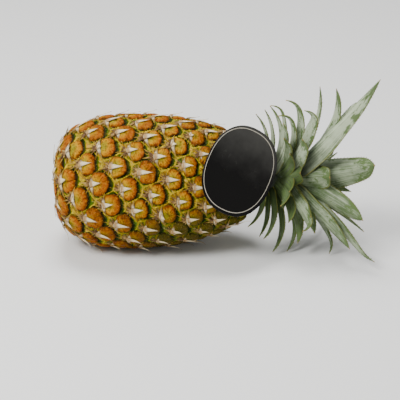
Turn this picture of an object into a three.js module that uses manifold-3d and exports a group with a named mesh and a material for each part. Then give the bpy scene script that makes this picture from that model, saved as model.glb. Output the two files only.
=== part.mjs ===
// A whole pineapple lying on its side: fruit, cut stalk, crown of leaves and a blank oval card.
// Millimetres, +Z up. The fruit's axis runs along +X from the stalk to the crown, and rises a little.
// The origin ends up in the middle of the footprint, on the surface that the fruit lies on.
import * as THREE from 'three';
import { ConvexHull } from 'three/addons/math/ConvexHull.js';
import { mergeVertices } from 'three/addons/utils/BufferGeometryUtils.js';
import Module from 'manifold-3d';

const wasm = await Module();
wasm.setup();

// The lie of the fruit
const axisRise = 2.2;            // degrees, the crown end is the higher one
const axisHeight = 58.6;         // height of the axis over the surface, at the stalk end
const flatContact = 0;           // height of the surface that trims the lowest eyes flat

// The barrel: a surface of revolution, measured over the tops of the eyes
const fruitLength = 194;
const fruitRadius = 62.4;
const widestStation = 74;        // distance from the stalk end
const stalkEndRoundness = [2.5, 3.3];
const crownEndRoundness = [2.0, 2.4];

// The spiral of eyes: each one takes an equal share of skin, a golden angle on from the last
const firstEye = 2;
const lastEye = 156;
const middleEye = 70;
const middleArea = 37080;        // skin area between the stalk end and the middle eye, mm2
const eyeArea = 471.2;           // skin area of one eye near the middle, mm2
const eyeAreaLoss = 0.842;       // how fast that area falls towards the crown
const middleAngle = 27.9;        // degrees round the axis from the -Y side, towards +Z
const goldenAngle = 137.425;
const angleDrift = 3.445;        // slow drift of the spiral, degrees at fifty eyes from the middle

// The relief of one eye, heights from the barrel surface
const grooveDepth = 4.6;
const discRadius = 8.2;
const discShare = 0.62;          // the disc never fills more of its cell than this
const discRimHeight = -1.0;
const discTopHeight = 0.2;
const endFade = 26;              // radius below which the relief fades out at both ends

// The dried bract that rises from the stalk side of each disc, its tip lying over the disc
const bractBack = 7.6;           // its heel lies this far from the eye's centre, towards the stalk
const bractHeelHeight = 1.0;
const bractSideBack = 5.2;
const bractHalfWidth = 4.2;
const bractSideHeight = -0.4;
const bractFront = 1.0;          // where it leaves the disc, towards the crown
const bractTipReach = 7.6;
const bractTipHeight = 3.0;
const bractTipHeightSpread = 1.2;
const bractTipSwing = 1.8;

// The cut stalk in the hollow of the stalk end
const stalkRadius = 13;
const stalkLength = 7;
const stalkSunk = 6.5;             // how far it reaches into its socket
const stalkGap = 0.35;
const stalkSides = 20;

// The crown's core
const coreStart = 186;
const coreLength = 46;
const coreRadius = 13;
const coreTipRadius = 4;
const coreSides = 14;
const crownClearance = 1.008;    // the crown is cut back by the fruit enlarged this much

// The crown's leaves
const leafRootRadius = 4;
const leafRootWidth = 0.45;      // share of the width at the root, inside the core
const leafShoulder = 0.2;        // share of the length where the full width is reached
const leafStations = [0, 0.2, 0.45, 0.7, 0.9, 1];
const frontAzimuth = 21;         // degrees, the side of the crown that faces the viewer
const leafTwist = 50;            // degrees, shown blades turn their outer face to that side by the tip
const leafKeel = 1.9;            // thickness along the middle, at the root
const leafKeelTip = 0.9;
const leafEdge = 0.7;
const leafTipWidth = 1.4;
const leafChannel = 0.34;        // depth of the channel as a share of the leaf's width
const leafChannelDeepest = 8;
const leafLift = 0.4;            // lowest height of any leaf over the surface

// Leaves that face the viewer's side, chosen one by one: azimuth round the axis, the station of the
// root, how far along and out the tip lies, the turn of the blade outwards, its width, and how
// pointed it is (small values keep the width up to a blunt end).
const shownLeaves = [
  { azimuth: 66, root: 212, along: 299, out: 121, turn: 12, width: 32, point: 0.74 },
  { azimuth: 80, root: 214, along: 285, out: 86, turn: 10, width: 25, point: 0.45 },
  { azimuth: 78, root: 208, along: 261, out: 95, turn: 62, width: 18, point: 0.5 },
  { azimuth: 100, root: 206, along: 247, out: 85, turn: 50, width: 12, point: 0.65 },
  { azimuth: 72, root: 204, along: 243, out: 80, turn: 18, width: 20, point: 0.4 },
  { azimuth: 78, root: 200, along: 222, out: 88, turn: 60, width: 19, point: 0.6 },
  { azimuth: 84, root: 197, along: 208, out: 79, turn: 50, width: 12, point: 0.7 },
  { azimuth: 92, root: 196, along: 201, out: 70, turn: 66, width: 12, point: 0.7 },
  { azimuth: 104, root: 193, along: 196, out: 64, turn: 50, width: 9, point: 0.7 },
  { azimuth: 86, root: 192, along: 188, out: 65, turn: 50, width: 9, point: 0.7 },
  { azimuth: 74, root: 199, along: 214, out: 77, turn: 70, width: 13, point: 0.5 },
  { azimuth: 64, root: 197, along: 213, out: 72, turn: 40, width: 11, point: 0.5 },
  { azimuth: 56, root: 204, along: 230, out: 60, turn: 30, width: 24, point: 0.28 },
  { azimuth: 60, root: 198, along: 213, out: 57, turn: 50, width: 17, point: 0.35 },
  { azimuth: 35, root: 222, along: 295, out: 43, turn: 22, width: 34, point: 0.3 },
  { azimuth: 21, root: 208, along: 254, out: 43, turn: 34, width: 28, point: 0.25 },
  { azimuth: 27, root: 200, along: 227, out: 42, turn: 44, width: 22, point: 0.28 },
  { azimuth: -17, root: 214, along: 283, out: 64, turn: 16, width: 32, point: 0.5 },
  { azimuth: -44, root: 216, along: 293, out: 90, turn: 14, width: 17, point: 0.75 },
  { azimuth: -38, root: 206, along: 271, out: 76, turn: 14, width: 20, point: 0.55 },
  { azimuth: -56, root: 212, along: 272, out: 56, turn: 10, width: 14, point: 0.6 },
  { azimuth: -79, root: 214, along: 286, out: 52, turn: 10, width: 9, point: 0.6 },
  { azimuth: -24, root: 201, along: 236, out: 69, turn: 30, width: 24, point: 0.5 },
  { azimuth: -20, root: 205, along: 236, out: 54, turn: 22, width: 16, point: 0.6 },
  { azimuth: -70, root: 206, along: 259, out: 70, turn: 34, width: 15, point: 0.7 },
  { azimuth: -72, root: 199, along: 214, out: 68, turn: 78, width: 13, point: 0.7 },
  { azimuth: -66, root: 195, along: 201, out: 68, turn: 64, width: 14, point: 0.65 },
  { azimuth: -12, root: 197, along: 209, out: 46, turn: 64, width: 24, point: 0.4 },
  { azimuth: -48, root: 194, along: 193, out: 59, turn: 58, width: 14, point: 0.65 },
  { azimuth: -60, root: 191, along: 189, out: 54, turn: 44, width: 12, point: 0.7 },
  { azimuth: -34, root: 190, along: 179, out: 53, turn: 50, width: 13, point: 0.65 },
];

// The leaves all round the rest of the crown follow the spiral of the eyes
const ruleLeafCount = 54;
const shownSector = [-92, 128];  // azimuths that the chosen leaves fill
const ruleLeafStart = 14;        // degrees, azimuth of the lowest rule leaf
const lowLeaf = { root: 190, lean: 82, length: 54, turn: 54, width: 12 };
const topLeaf = { root: 220, lean: 18, length: 50, turn: 8, width: 16 };
const longestLeafExtra = 40;     // leaves half way up the crown's far side are this much longer
const innerLeafCount = 5;        // the youngest leaves stand round the axis

// The blank oval card, leaning between the fruit's shoulder and the crown
const cardHalfLength = 42;
const cardHalfWidth = 33;
const cardRoundness = 2.3;      // exponent of its oval
const cardThickness = 2.0;
const cardPoints = 48;
const cardCentre = [171.5, -39.2, 88];
const cardTurn = 22;             // degrees, its face turned from -Y towards the crown
const cardLean = 25;             // degrees, its face tipped upwards
const cardSpin = 33;             // degrees, its long axis leaned towards the crown

const radians = THREE.MathUtils.degToRad;
const axisDirection = new THREE.Vector3(Math.cos(radians(axisRise)), 0, Math.sin(radians(axisRise)));
const upDirection = new THREE.Vector3(-Math.sin(radians(axisRise)), 0, Math.cos(radians(axisRise)));
const frontDirection = new THREE.Vector3(0, -1, 0);

// Point at a station along the axis, a distance out from it and an azimuth round it
function place(station, out, azimuth) {
  return new THREE.Vector3(0, 0, axisHeight)
    .addScaledVector(axisDirection, station)
    .addScaledVector(frontDirection, out * Math.cos(azimuth))
    .addScaledVector(upDirection, out * Math.sin(azimuth));
}

// Repeatable draw between 0 and 1
function draw(index, salt) {
  const value = Math.sin(index * 12.9898 + salt * 78.233) * 43758.5453;
  return value - Math.floor(value);
}

// Radius of the barrel at a station
function barrelRadius(station) {
  if (station < widestStation) {
    const share = Math.max(0, widestStation - station) / widestStation;
    const [bulge, root] = stalkEndRoundness;
    return fruitRadius * Math.max(0, 1 - share ** bulge) ** (1 / root);
  }
  const share = Math.min(1, (station - widestStation) / (fruitLength - widestStation));
  const [bulge, root] = crownEndRoundness;
  return fruitRadius * Math.max(0, 1 - share ** bulge) ** (1 / root);
}

// Skin area and the angle-keeping height along the barrel, summed from the stalk end
function measureBarrel() {
  const steps = 4000;
  const rows = [{ station: 0, area: 0, rise: 0 }];
  for (let step = 1; step <= steps; step += 1) {
    const before = rows[step - 1];
    const station = fruitLength * 0.5 * (1 - Math.cos((Math.PI * step) / steps));
    const near = barrelRadius(before.station);
    const far = barrelRadius(station);
    const slant = Math.hypot(station - before.station, far - near);
    rows.push({
      station,
      area: before.area + slant * Math.PI * (near + far),
      rise: before.rise + slant / Math.max(0.5 * (near + far), 0.05),
    });
  }
  return rows;
}

const barrelRows = measureBarrel();
const middleRise = lookUp('station', widestStation, 'rise');

// Reads one column of the measured barrel where another column has a given value
function lookUp(column, value, wanted) {
  let low = 0;
  let high = barrelRows.length - 1;
  while (high - low > 1) {
    const middle = (low + high) >> 1;
    if (barrelRows[middle][column] < value) low = middle;
    else high = middle;
  }
  const span = barrelRows[high][column] - barrelRows[low][column];
  const share = THREE.MathUtils.clamp((value - barrelRows[low][column]) / span, 0, 1);
  return THREE.MathUtils.lerp(barrelRows[low][wanted], barrelRows[high][wanted], share);
}

// Point on the barrel, lifted along the skin's outward normal
function skin(station, azimuth, height) {
  const reach = 0.4;
  const back = Math.max(0, station - reach);
  const front = Math.min(fruitLength, station + reach);
  const slope = Math.atan2(barrelRadius(front) - barrelRadius(back), front - back);
  const out = barrelRadius(station) + height * Math.cos(slope);
  return place(station - height * Math.sin(slope), Math.max(0, out), azimuth);
}

// Station and azimuth of an eye of the spiral
function eyePlace(index) {
  const count = index - middleEye;
  const area = middleArea + eyeArea * count - eyeAreaLoss * count ** 2;
  const angle = middleAngle - goldenAngle * count - angleDrift * (count / 50) ** 2;
  return { station: lookUp('area', area, 'station'), azimuth: radians(angle) };
}

// The barrel's skin laid on a unit sphere so that angles are kept, and back again
function toSphere({ station, azimuth }) {
  const rise = lookUp('station', station, 'rise') - middleRise;
  const ring = 1 / Math.cosh(rise);
  return new THREE.Vector3(Math.tanh(rise), ring * Math.cos(azimuth), ring * Math.sin(azimuth));
}

function fromSphere(point) {
  const along = THREE.MathUtils.clamp(point.x, -0.99999, 0.99999);
  const rise = Math.atanh(along) + middleRise;
  return { station: lookUp('rise', rise, 'station'), azimuth: Math.atan2(point.z, point.y) };
}

// The relief fades where the skin draws together at both ends
function fade(station) {
  return THREE.MathUtils.smoothstep(barrelRadius(station), 6, endFade);
}

// Collects triangles and gives them as one closed geometry
class Skin {
  constructor() {
    this.points = [];
    this.faces = [];
  }

  add(point) {
    this.points.push(point.x, point.y, point.z);
    return this.points.length / 3 - 1;
  }

  strip(outer, inner) {
    outer.forEach((first, index) => {
      const next = (index + 1) % outer.length;
      this.faces.push(first, outer[next], inner[next], first, inner[next], inner[index]);
    });
  }

  fan(ring, centre) {
    ring.forEach((first, index) => this.faces.push(first, ring[(index + 1) % ring.length], centre));
  }

  // Joins two rings with different counts, going round a centre by angle
  zip(outer, inner, centre, across, along) {
    const angle = (index) => {
      const arm = new THREE.Vector3().fromArray(this.points, index * 3).sub(centre);
      return Math.atan2(arm.dot(across), arm.dot(along));
    };
    const sorted = (ring) => ring
      .map((index) => ({ index, angle: angle(index) }))
      .sort((first, second) => first.angle - second.angle);
    const nextAngle = (ring, step) => {
      if (step >= ring.length) return Infinity;
      return step + 1 < ring.length ? ring[step + 1].angle : ring[0].angle + 2 * Math.PI;
    };
    const [far, near] = [sorted(outer), sorted(inner)];
    let [i, j] = [0, 0];
    while (i < far.length || j < near.length) {
      const a = far[i % far.length].index;
      const b = near[j % near.length].index;
      if (nextAngle(far, i) <= nextAngle(near, j)) {
        i += 1;
        this.faces.push(a, far[i % far.length].index, b);
      } else {
        j += 1;
        this.faces.push(a, near[j % near.length].index, b);
      }
    }
  }

  geometry() {
    const geometry = new THREE.BufferGeometry();
    geometry.setAttribute('position', new THREE.Float32BufferAttribute(this.points, 3));
    geometry.setIndex(this.faces);
    return geometry;
  }
}

// A closed geometry as a solid for joining and cutting
function toSolid(geometry) {
  const bare = geometry.clone();
  bare.deleteAttribute('normal');
  bare.deleteAttribute('uv');
  const merged = mergeVertices(bare, 1e-4);
  return new wasm.Manifold(new wasm.Mesh({
    numProp: 3,
    vertProperties: new Float32Array(merged.attributes.position.array),
    triVerts: new Uint32Array(merged.index.array),
  }));
}

function toGeometry(solid) {
  const mesh = solid.getMesh();
  const geometry = new THREE.BufferGeometry();
  geometry.setAttribute('position', new THREE.Float32BufferAttribute(mesh.vertProperties, 3));
  geometry.setIndex(Array.from(mesh.triVerts));
  return geometry;
}

// The largest body of a solid that cutting may have split
function largestBody(solid) {
  return solid.decompose().reduce((best, body) => (body.volume() > best.volume() ? body : best));
}

// A closed solid of revolution about the fruit's axis, from pairs of station and radius
function turned(profile, sides) {
  const points = profile.map(([station, radius]) => new THREE.Vector2(radius, station));
  const geometry = new THREE.LatheGeometry(points, sides);
  const frame = new THREE.Matrix4().makeBasis(frontDirection, axisDirection, upDirection);
  frame.setPosition(0, 0, axisHeight);
  return geometry.applyMatrix4(frame);
}

// Everything of a solid that lies over the surface
function trimmed(solid) {
  return solid.trimByPlane([0, 0, 1], flatContact);
}

// The eyes' cells: corners shared by three neighbours, found on the angle-keeping sphere
function eyeCells() {
  const eyes = [];
  for (let index = firstEye; index <= lastEye; index += 1) eyes.push(eyePlace(index));
  eyes.push({ station: 0, azimuth: 0, pole: true });
  eyes.push({ station: fruitLength, azimuth: 0, pole: true });
  const points = eyes.map((eye) => {
    if (eye.pole) return new THREE.Vector3(eye.station > 0 ? 1 : -1, 0, 0);
    return toSphere(eye);
  });
  const order = new Map(points.map((point, index) => [point, index]));
  const corners = [];
  eyes.forEach((eye) => { eye.corners = []; });
  for (const face of new ConvexHull().setFromPoints(points).faces) {
    const members = [0, 1, 2].map((turn) => order.get(face.getEdge(turn).head().point));
    corners.push(fromSphere(face.normal));
    members.forEach((member) => eyes[member].corners.push(corners.length - 1));
  }
  return { eyes, corners, points };
}

// Corner indices of one cell in turn round its centre, seen from outside
function inTurn(centre, indices, corners) {
  const side = new THREE.Vector3(-centre.y, centre.x, 0);
  if (side.length() < 1e-6) side.set(0, 1, 0);
  side.normalize();
  const other = new THREE.Vector3().crossVectors(centre, side);
  const angle = (index) => {
    const point = toSphere(corners[index]);
    return Math.atan2(point.dot(other), point.dot(side));
  };
  return [...indices].sort((first, second) => angle(second) - angle(first));
}

// A place between an eye's centre and a corner of its cell, by distance over the skin
function between(eye, corner, share) {
  const turn = corner.azimuth - eye.azimuth;
  const whole = Math.round(turn / (2 * Math.PI)) * 2 * Math.PI;
  return {
    station: THREE.MathUtils.lerp(eye.station, corner.station, share),
    azimuth: eye.azimuth + (turn - whole) * share,
  };
}

// The skin of eyes: every cell rises from its groove to the rim of a low domed disc
function fruitSkin() {
  const { eyes, corners, points } = eyeCells();
  const shape = new Skin();
  const floor = corners.map(({ station, azimuth }) => (
    shape.add(skin(station, azimuth, -grooveDepth * fade(station)))));
  eyes.forEach((eye, number) => {
    const cell = inTurn(points[number], eye.corners, corners);
    const ring = cell.map((index) => floor[index]);
    const depth = -grooveDepth * fade(eye.station);
    if (eye.pole) {
      shape.fan(ring, shape.add(skin(eye.station, 0, depth)));
      return;
    }
    const relief = fade(eye.station);
    const centre = skin(eye.station, eye.azimuth, 0);
    const rim = cell.map((index) => {
      const corner = corners[index];
      const spread = skin(corner.station, corner.azimuth, 0).distanceTo(centre);
      const spot = between(eye, corner, Math.min(discShare, discRadius / spread));
      return shape.add(skin(spot.station, spot.azimuth, discRimHeight * relief));
    });
    shape.strip(ring, rim);
    addBract(shape, eye, number, rim);
  });
  return shape.geometry();
}

// The disc of one eye and the four-sided bract that rises from it to a tip over the disc
function addBract(shape, eye, number, rim) {
  const relief = fade(eye.station);
  const size = THREE.MathUtils.lerp(0.35, 1, relief);
  const centre = skin(eye.station, eye.azimuth, 0);
  const out = skin(eye.station, eye.azimuth, 1).sub(centre).normalize();
  const round = new THREE.Vector3().crossVectors(out, axisDirection).normalize();
  const along = new THREE.Vector3().crossVectors(round, out);
  const at = (forward, side, height) => shape.add(centre.clone()
    .addScaledVector(along, forward * size)
    .addScaledVector(round, side * size)
    .addScaledVector(out, height * relief));
  const ring = [
    at(-bractBack, 0, bractHeelHeight),
    at(-bractSideBack, -bractHalfWidth, bractSideHeight),
    at(bractFront, 0, discTopHeight),
    at(-bractSideBack, bractHalfWidth, bractSideHeight),
  ];
  const swing = bractTipSwing * (2 * draw(number, 2) - 1);
  const height = bractTipHeight + bractTipHeightSpread * (2 * draw(number, 1) - 1);
  shape.zip(rim, ring, centre, round, along);
  shape.fan(ring, at(bractTipReach, swing, height));
}

function makeFruit() {
  const socket = toSolid(turned([
    [-stalkLength, 0],
    [-stalkLength, stalkRadius + stalkGap],
    [stalkSunk + stalkGap, stalkRadius + stalkGap],
    [stalkSunk + stalkGap, 0],
  ], stalkSides));
  return largestBody(trimmed(toSolid(fruitSkin()).subtract(socket)));
}

function makeStalk() {
  return toSolid(turned([
    [stalkSunk - stalkLength, 0],
    [stalkSunk - stalkLength, stalkRadius - 1],
    [stalkSunk - stalkLength + 1, stalkRadius],
    [stalkSunk, stalkRadius],
    [stalkSunk, 0],
  ], stalkSides));
}

// Middle line of a leaf as pairs of station and distance out: it turns outwards, faster to the tip
function leafLine({ root, along, out, turn }) {
  const fine = 60;
  const line = [[0, 0]];
  for (let step = 0; step < fine; step += 1) {
    const angle = radians(turn) * ((step + 0.5) / fine) ** 1.5;
    const [x, y] = line[step];
    line.push([x + Math.cos(angle), y + Math.sin(angle)]);
  }
  const [endX, endY] = line[fine];
  const chord = [along - root, out - leafRootRadius];
  const scale = Math.hypot(...chord) / Math.hypot(endX, endY);
  const spin = Math.atan2(chord[1], chord[0]) - Math.atan2(endY, endX);
  return (share) => {
    const at = share * fine;
    const low = Math.min(fine - 1, Math.floor(at));
    const x = THREE.MathUtils.lerp(line[low][0], line[low + 1][0], at - low) * scale;
    const y = THREE.MathUtils.lerp(line[low][1], line[low + 1][1], at - low) * scale;
    return {
      station: root + x * Math.cos(spin) - y * Math.sin(spin),
      out: leafRootRadius + x * Math.sin(spin) + y * Math.cos(spin),
      slope: spin + radians(turn) * share ** 1.5,
    };
  };
}

// Width of a leaf at a share of its length: drawn in at the root, pointed at the tip
function leafWidth({ width, point }, share) {
  const shoulder = THREE.MathUtils.smoothstep(share, 0, leafShoulder);
  return width * THREE.MathUtils.lerp(leafRootWidth, 1, shoulder) * (1 - share) ** point;
}

// One leaf: a channelled blade, thick along its keel and thin at its edges
function makeLeaf(leaf) {
  const line = leafLine(leaf);
  const azimuth = radians(leaf.azimuth);
  const shape = new Skin();
  const round = place(0, 1, azimuth + Math.PI / 2).sub(place(0, 0, 0));
  let before = null;
  for (const share of leafStations) {
    const { station, out, slope } = line(share);
    const centre = place(station, out, azimuth);
    const outward = place(-Math.sin(slope), Math.cos(slope), azimuth).sub(place(0, 0, 0));
    const twist = radians(leaf.twist * share);
    const away = outward.clone().multiplyScalar(Math.cos(twist)).addScaledVector(round, -Math.sin(twist));
    const across = round.clone().multiplyScalar(Math.cos(twist)).addScaledVector(outward, Math.sin(twist));
    const half = 0.5 * Math.max(leafTipWidth, leafWidth(leaf, share));
    const keel = THREE.MathUtils.lerp(leafKeel, leafKeelTip, share);
    const edgeDepth = Math.min(2 * half * leafChannel, leafChannelDeepest);
    const at = (side, depth) => (
      centre.clone().addScaledVector(across, side).addScaledVector(away, -depth));
    const points = [
      at(-half, edgeDepth),
      at(0, 0),
      at(half, edgeDepth),
      at(half, edgeDepth + leafEdge),
      at(0, keel),
      at(-half, edgeDepth + leafEdge),
    ];
    const lowest = Math.min(...points.map((point) => point.z));
    const raise = Math.max(0, leafLift - lowest);
    const ring = points.map((point) => shape.add(point.setZ(point.z + raise)));
    if (before) shape.strip(ring, before);
    else shape.faces.push(...capFaces(ring));
    before = ring;
  }
  shape.faces.push(...capFaces(before).reverse());
  return toSolid(shape.geometry());
}

// The end of a blade, closed in two halves on each side of its keel
function capFaces([a, b, c, d, e, f]) {
  return [a, b, e, a, e, f, b, c, d, b, d, e];
}

// Leaves that follow the spiral round the rest of the crown
function ruleLeaves() {
  const leaves = [];
  for (let index = 0; index < ruleLeafCount; index += 1) {
    const share = index / (ruleLeafCount - 1);
    const azimuth = THREE.MathUtils.euclideanModulo(ruleLeafStart - goldenAngle * index + 180, 360) - 180;
    const shown = azimuth > shownSector[0] && azimuth < shownSector[1];
    const inner = index >= ruleLeafCount - innerLeafCount;
    if (shown && !inner) continue;
    const mix = (name) => THREE.MathUtils.lerp(lowLeaf[name], topLeaf[name], share);
    const lean = radians(mix('lean') + 8 * (draw(index, 3) - 0.5));
    const farSide = Math.max(0, -Math.cos(radians(azimuth - frontAzimuth))) ** 2;
    const extra = longestLeafExtra * Math.sin(Math.PI * share) * farSide;
    const length = mix('length') + extra + 6 * (draw(index, 4) - 0.5);
    leaves.push({
      azimuth,
      twist: 0,
      root: mix('root'),
      along: mix('root') + length * Math.cos(lean),
      out: leafRootRadius + length * Math.sin(lean),
      turn: mix('turn'),
      width: mix('width') + 10 * Math.sin(Math.PI * share),
      point: 0.7,
    });
  }
  return leaves;
}

function makeCrown(fruit) {
  const core = toSolid(turned([
    [coreStart, 0],
    [coreStart, coreRadius],
    [coreStart + coreLength * 0.6, coreRadius * 0.8],
    [coreStart + coreLength, coreTipRadius],
    [coreStart + coreLength, 0],
  ], coreSides));
  const shown = shownLeaves.map((leaf) => (
    { ...leaf, twist: leafTwist * Math.sin(radians(leaf.azimuth - frontAzimuth)) }));
  const leaves = [...shown, ...ruleLeaves()].map(makeLeaf);
  const centre = place(fruitLength / 2, 0, 0);
  const enlarged = fruit
    .translate([-centre.x, -centre.y, -centre.z])
    .scale(crownClearance)
    .translate([centre.x, centre.y, centre.z]);
  return largestBody(trimmed(wasm.Manifold.union([core, ...leaves]).subtract(enlarged)));
}

function makeCard() {
  const outline = new THREE.Shape();
  for (let index = 0; index < cardPoints; index += 1) {
    const angle = (2 * Math.PI * index) / cardPoints;
    const bend = (value) => Math.sign(value) * Math.abs(value) ** (2 / cardRoundness);
    const x = cardHalfWidth * bend(Math.cos(angle));
    const y = cardHalfLength * bend(Math.sin(angle));
    if (index) outline.lineTo(x, y);
    else outline.moveTo(x, y);
  }
  outline.closePath();
  const geometry = new THREE.ExtrudeGeometry(outline, { depth: cardThickness, bevelEnabled: false });
  geometry.rotateZ(-radians(cardSpin));
  geometry.rotateX(Math.PI / 2 - radians(cardLean));
  geometry.rotateZ(radians(cardTurn));
  return toSolid(geometry.translate(...cardCentre));
}

function finished(name, solid, colour, roughness) {
  const material = new THREE.MeshStandardMaterial({ color: colour, roughness, metalness: 0 });
  const mesh = new THREE.Mesh(toGeometry(solid), material);
  mesh.name = name;
  return mesh;
}

const fruit = makeFruit();
const group = new THREE.Group();
group.add(finished('fruit', fruit, 0xc6862a, 0.6));
group.add(finished('stalk', makeStalk(), 0xa58b5e, 0.9));
group.add(finished('crown', makeCrown(fruit), 0x8c9c86, 0.65));
group.add(finished('label_card', makeCard(), 0x141312, 0.25));

// The middle of the footprint goes to the origin
const box = new THREE.Box3().setFromObject(group);
const middle = box.getCenter(new THREE.Vector3());
group.position.set(-middle.x, -middle.y, 0);

export default group;
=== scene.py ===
"""A pineapple lying on its side: a rind of eyes, papery bracts, a silvery crown and a blank card."""

import logging
import math
from dataclasses import dataclass, field, replace
from enum import Enum

import bpy
import numpy as np
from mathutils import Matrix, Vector


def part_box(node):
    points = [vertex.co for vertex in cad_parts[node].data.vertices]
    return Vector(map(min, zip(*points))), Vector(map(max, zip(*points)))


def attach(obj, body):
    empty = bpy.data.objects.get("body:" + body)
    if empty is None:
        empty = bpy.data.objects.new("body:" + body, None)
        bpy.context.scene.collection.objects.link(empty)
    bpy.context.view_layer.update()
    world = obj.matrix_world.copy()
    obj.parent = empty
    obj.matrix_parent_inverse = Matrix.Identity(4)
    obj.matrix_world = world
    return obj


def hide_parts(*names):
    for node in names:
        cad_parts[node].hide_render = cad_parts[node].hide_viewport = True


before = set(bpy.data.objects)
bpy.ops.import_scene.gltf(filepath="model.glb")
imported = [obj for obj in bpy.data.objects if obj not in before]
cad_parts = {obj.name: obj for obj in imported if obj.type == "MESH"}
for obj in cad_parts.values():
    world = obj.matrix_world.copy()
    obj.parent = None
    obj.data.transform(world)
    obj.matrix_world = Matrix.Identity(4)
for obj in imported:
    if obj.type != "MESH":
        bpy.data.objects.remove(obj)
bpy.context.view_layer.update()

# Lengths are in millimetres where nothing says metres
MM = 0.001
BODY = "root"
log = logging.getLogger("pineapple")


def linear(part: int) -> float:
    """Turns one channel of a screen colour, from 0 to 255, linear."""
    share = part / 255
    return share / 12.92 if share <= 0.04045 else ((share + 0.055) / 1.055) ** 2.4


def srgb(red: int, green: int, blue: int) -> tuple[float, float, float, float]:
    """Turns a screen colour from 0 to 255 into the renderer's linear colour.

    Args:
        red: Red on the screen.
        green: Green on the screen.
        blue: Blue on the screen.

    Returns:
        The linear colour with full alpha.
    """
    return linear(red), linear(green), linear(blue), 1.0


def draw(index: np.ndarray | float, salt: float) -> np.ndarray | float:
    """Gives a repeatable number between 0 and 1, the same one as the solids use."""
    value = np.sin(np.asarray(index, float) * 12.9898 + salt * 78.233) * 43758.5453
    return value - np.floor(value)


def smooth(value: np.ndarray | float, low: float, high: float) -> np.ndarray | float:
    """Rises smoothly from 0 at low to 1 at high."""
    share = np.clip((np.asarray(value, float) - low) / (high - low), 0, 1)
    return share * share * (3 - 2 * share)


def between(low: float, top: float, share: float) -> float:
    """Goes from low to top as share goes from 0 to 1."""
    return low + (top - low) * share


def unit(vectors: np.ndarray) -> np.ndarray:
    """Gives the vectors, one a row, at length 1."""
    return vectors / np.maximum(np.linalg.norm(vectors, axis=-1, keepdims=True), 1e-12)


# The fruit's form, on which everything is placed

@dataclass(frozen=True)
class Barrel:
    """The fruit's body as a surface of revolution, in millimetres, and where it lies."""

    length: float = 194
    radius: float = 62.4
    widest: float = 74
    stalk_round: tuple[float, float] = (2.5, 3.3)
    crown_round: tuple[float, float] = (2.0, 2.4)
    rise: float = math.radians(2.2)
    axis_height: float = 58.6
    fade_from: float = 6
    fade_to: float = 26
    steps: int = 4000

    @property
    def axis(self) -> np.ndarray:
        """Direction along the fruit, to the crown."""
        return np.array([math.cos(self.rise), 0, math.sin(self.rise)])

    @property
    def upward(self) -> np.ndarray:
        """Direction square to the axis, upwards."""
        return np.array([-math.sin(self.rise), 0, math.cos(self.rise)])

    def origin(self) -> np.ndarray:
        """Finds where the axis meets the fruit's stalk end, from the stalk's own solid.

        Returns:
            The point, in the frame's millimetres.
        """
        low, high = (np.array(corner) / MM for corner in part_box("stalk"))
        stalk = Stalk()
        rim_station = stalk.face_station * math.cos(self.rise) - stalk.face_radius * math.sin(self.rise)
        return np.array([low[0] - rim_station, (low[1] + high[1]) / 2, self.axis_height])

    def radius_at(self, station: np.ndarray) -> np.ndarray:
        """Radius over the tops of the eyes at stations along the axis.

        Args:
            station: Distances along the axis from the stalk end.

        Returns:
            The radii there.
        """
        station = np.asarray(station, float)
        back = np.clip((self.widest - station) / self.widest, 0, 1)
        ahead = np.clip((station - self.widest) / (self.length - self.widest), 0, 1)
        near = np.maximum(0, 1 - back ** self.stalk_round[0]) ** (1 / self.stalk_round[1])
        far = np.maximum(0, 1 - ahead ** self.crown_round[0]) ** (1 / self.crown_round[1])
        return self.radius * np.where(station < self.widest, near, far)

    def measure(self) -> dict[str, np.ndarray]:
        """Sums station, arc, skin area and the angle-keeping height along the barrel.

        Returns:
            The sums, one row a step, by name.
        """
        station = self.length * 0.5 * (1 - np.cos(np.linspace(0, math.pi, self.steps + 1)))
        out = self.radius_at(station)
        slant = np.hypot(np.diff(station), np.diff(out))
        middle = 0.5 * (out[1:] + out[:-1])
        sums = {
            "arc": slant,
            "area": slant * 2 * math.pi * middle,
            "rise": slant / np.maximum(middle, 0.05),
        }
        table = {name: np.concatenate([[0], np.cumsum(part)]) for name, part in sums.items()}
        table["station"] = station
        table["rise"] -= np.interp(self.widest, station, table["rise"])
        return table

    def place(self, station: np.ndarray, out: np.ndarray, azimuth: np.ndarray) -> np.ndarray:
        """Points at stations along the axis, distances out from it and azimuths round it.

        Args:
            station: Distance along the axis from the stalk end.
            out: Distance out from the axis.
            azimuth: Angle from the front, upwards, in radians.

        Returns:
            The points, one a row, in the frame's millimetres.
        """
        station, out, azimuth = np.broadcast_arrays(station, out, azimuth)
        front = np.array([0.0, -1.0, 0.0])
        arm = np.cos(azimuth)[..., None] * front + np.sin(azimuth)[..., None] * self.upward
        return self.origin() + station[..., None] * self.axis + out[..., None] * arm

    def normal_slope(self, station: np.ndarray) -> np.ndarray:
        """Angle of the skin's outline at stations, from which its normal leans.

        Args:
            station: Distances along the axis from the stalk end.

        Returns:
            The angles, in radians.
        """
        reach = 0.4
        back = np.maximum(0, station - reach)
        front = np.minimum(self.length, station + reach)
        return np.arctan2(self.radius_at(front) - self.radius_at(back), front - back)

    def skin(self, station: np.ndarray, azimuth: np.ndarray, height: np.ndarray) -> np.ndarray:
        """Points on the barrel, lifted by height along the skin's outward normal.

        Args:
            station: Distances along the axis from the stalk end.
            azimuth: Angles from the front, upwards, in radians.
            height: Heights over the skin.

        Returns:
            The points, one a row.
        """
        slope = self.normal_slope(np.asarray(station, float))
        out = np.maximum(0, self.radius_at(station) + height * np.cos(slope))
        return self.place(station - height * np.sin(slope), out, azimuth)

    def fade(self, station: np.ndarray) -> np.ndarray:
        """Share of the full relief, which fades where the skin draws together."""
        return smooth(self.radius_at(station), self.fade_from, self.fade_to)


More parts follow.
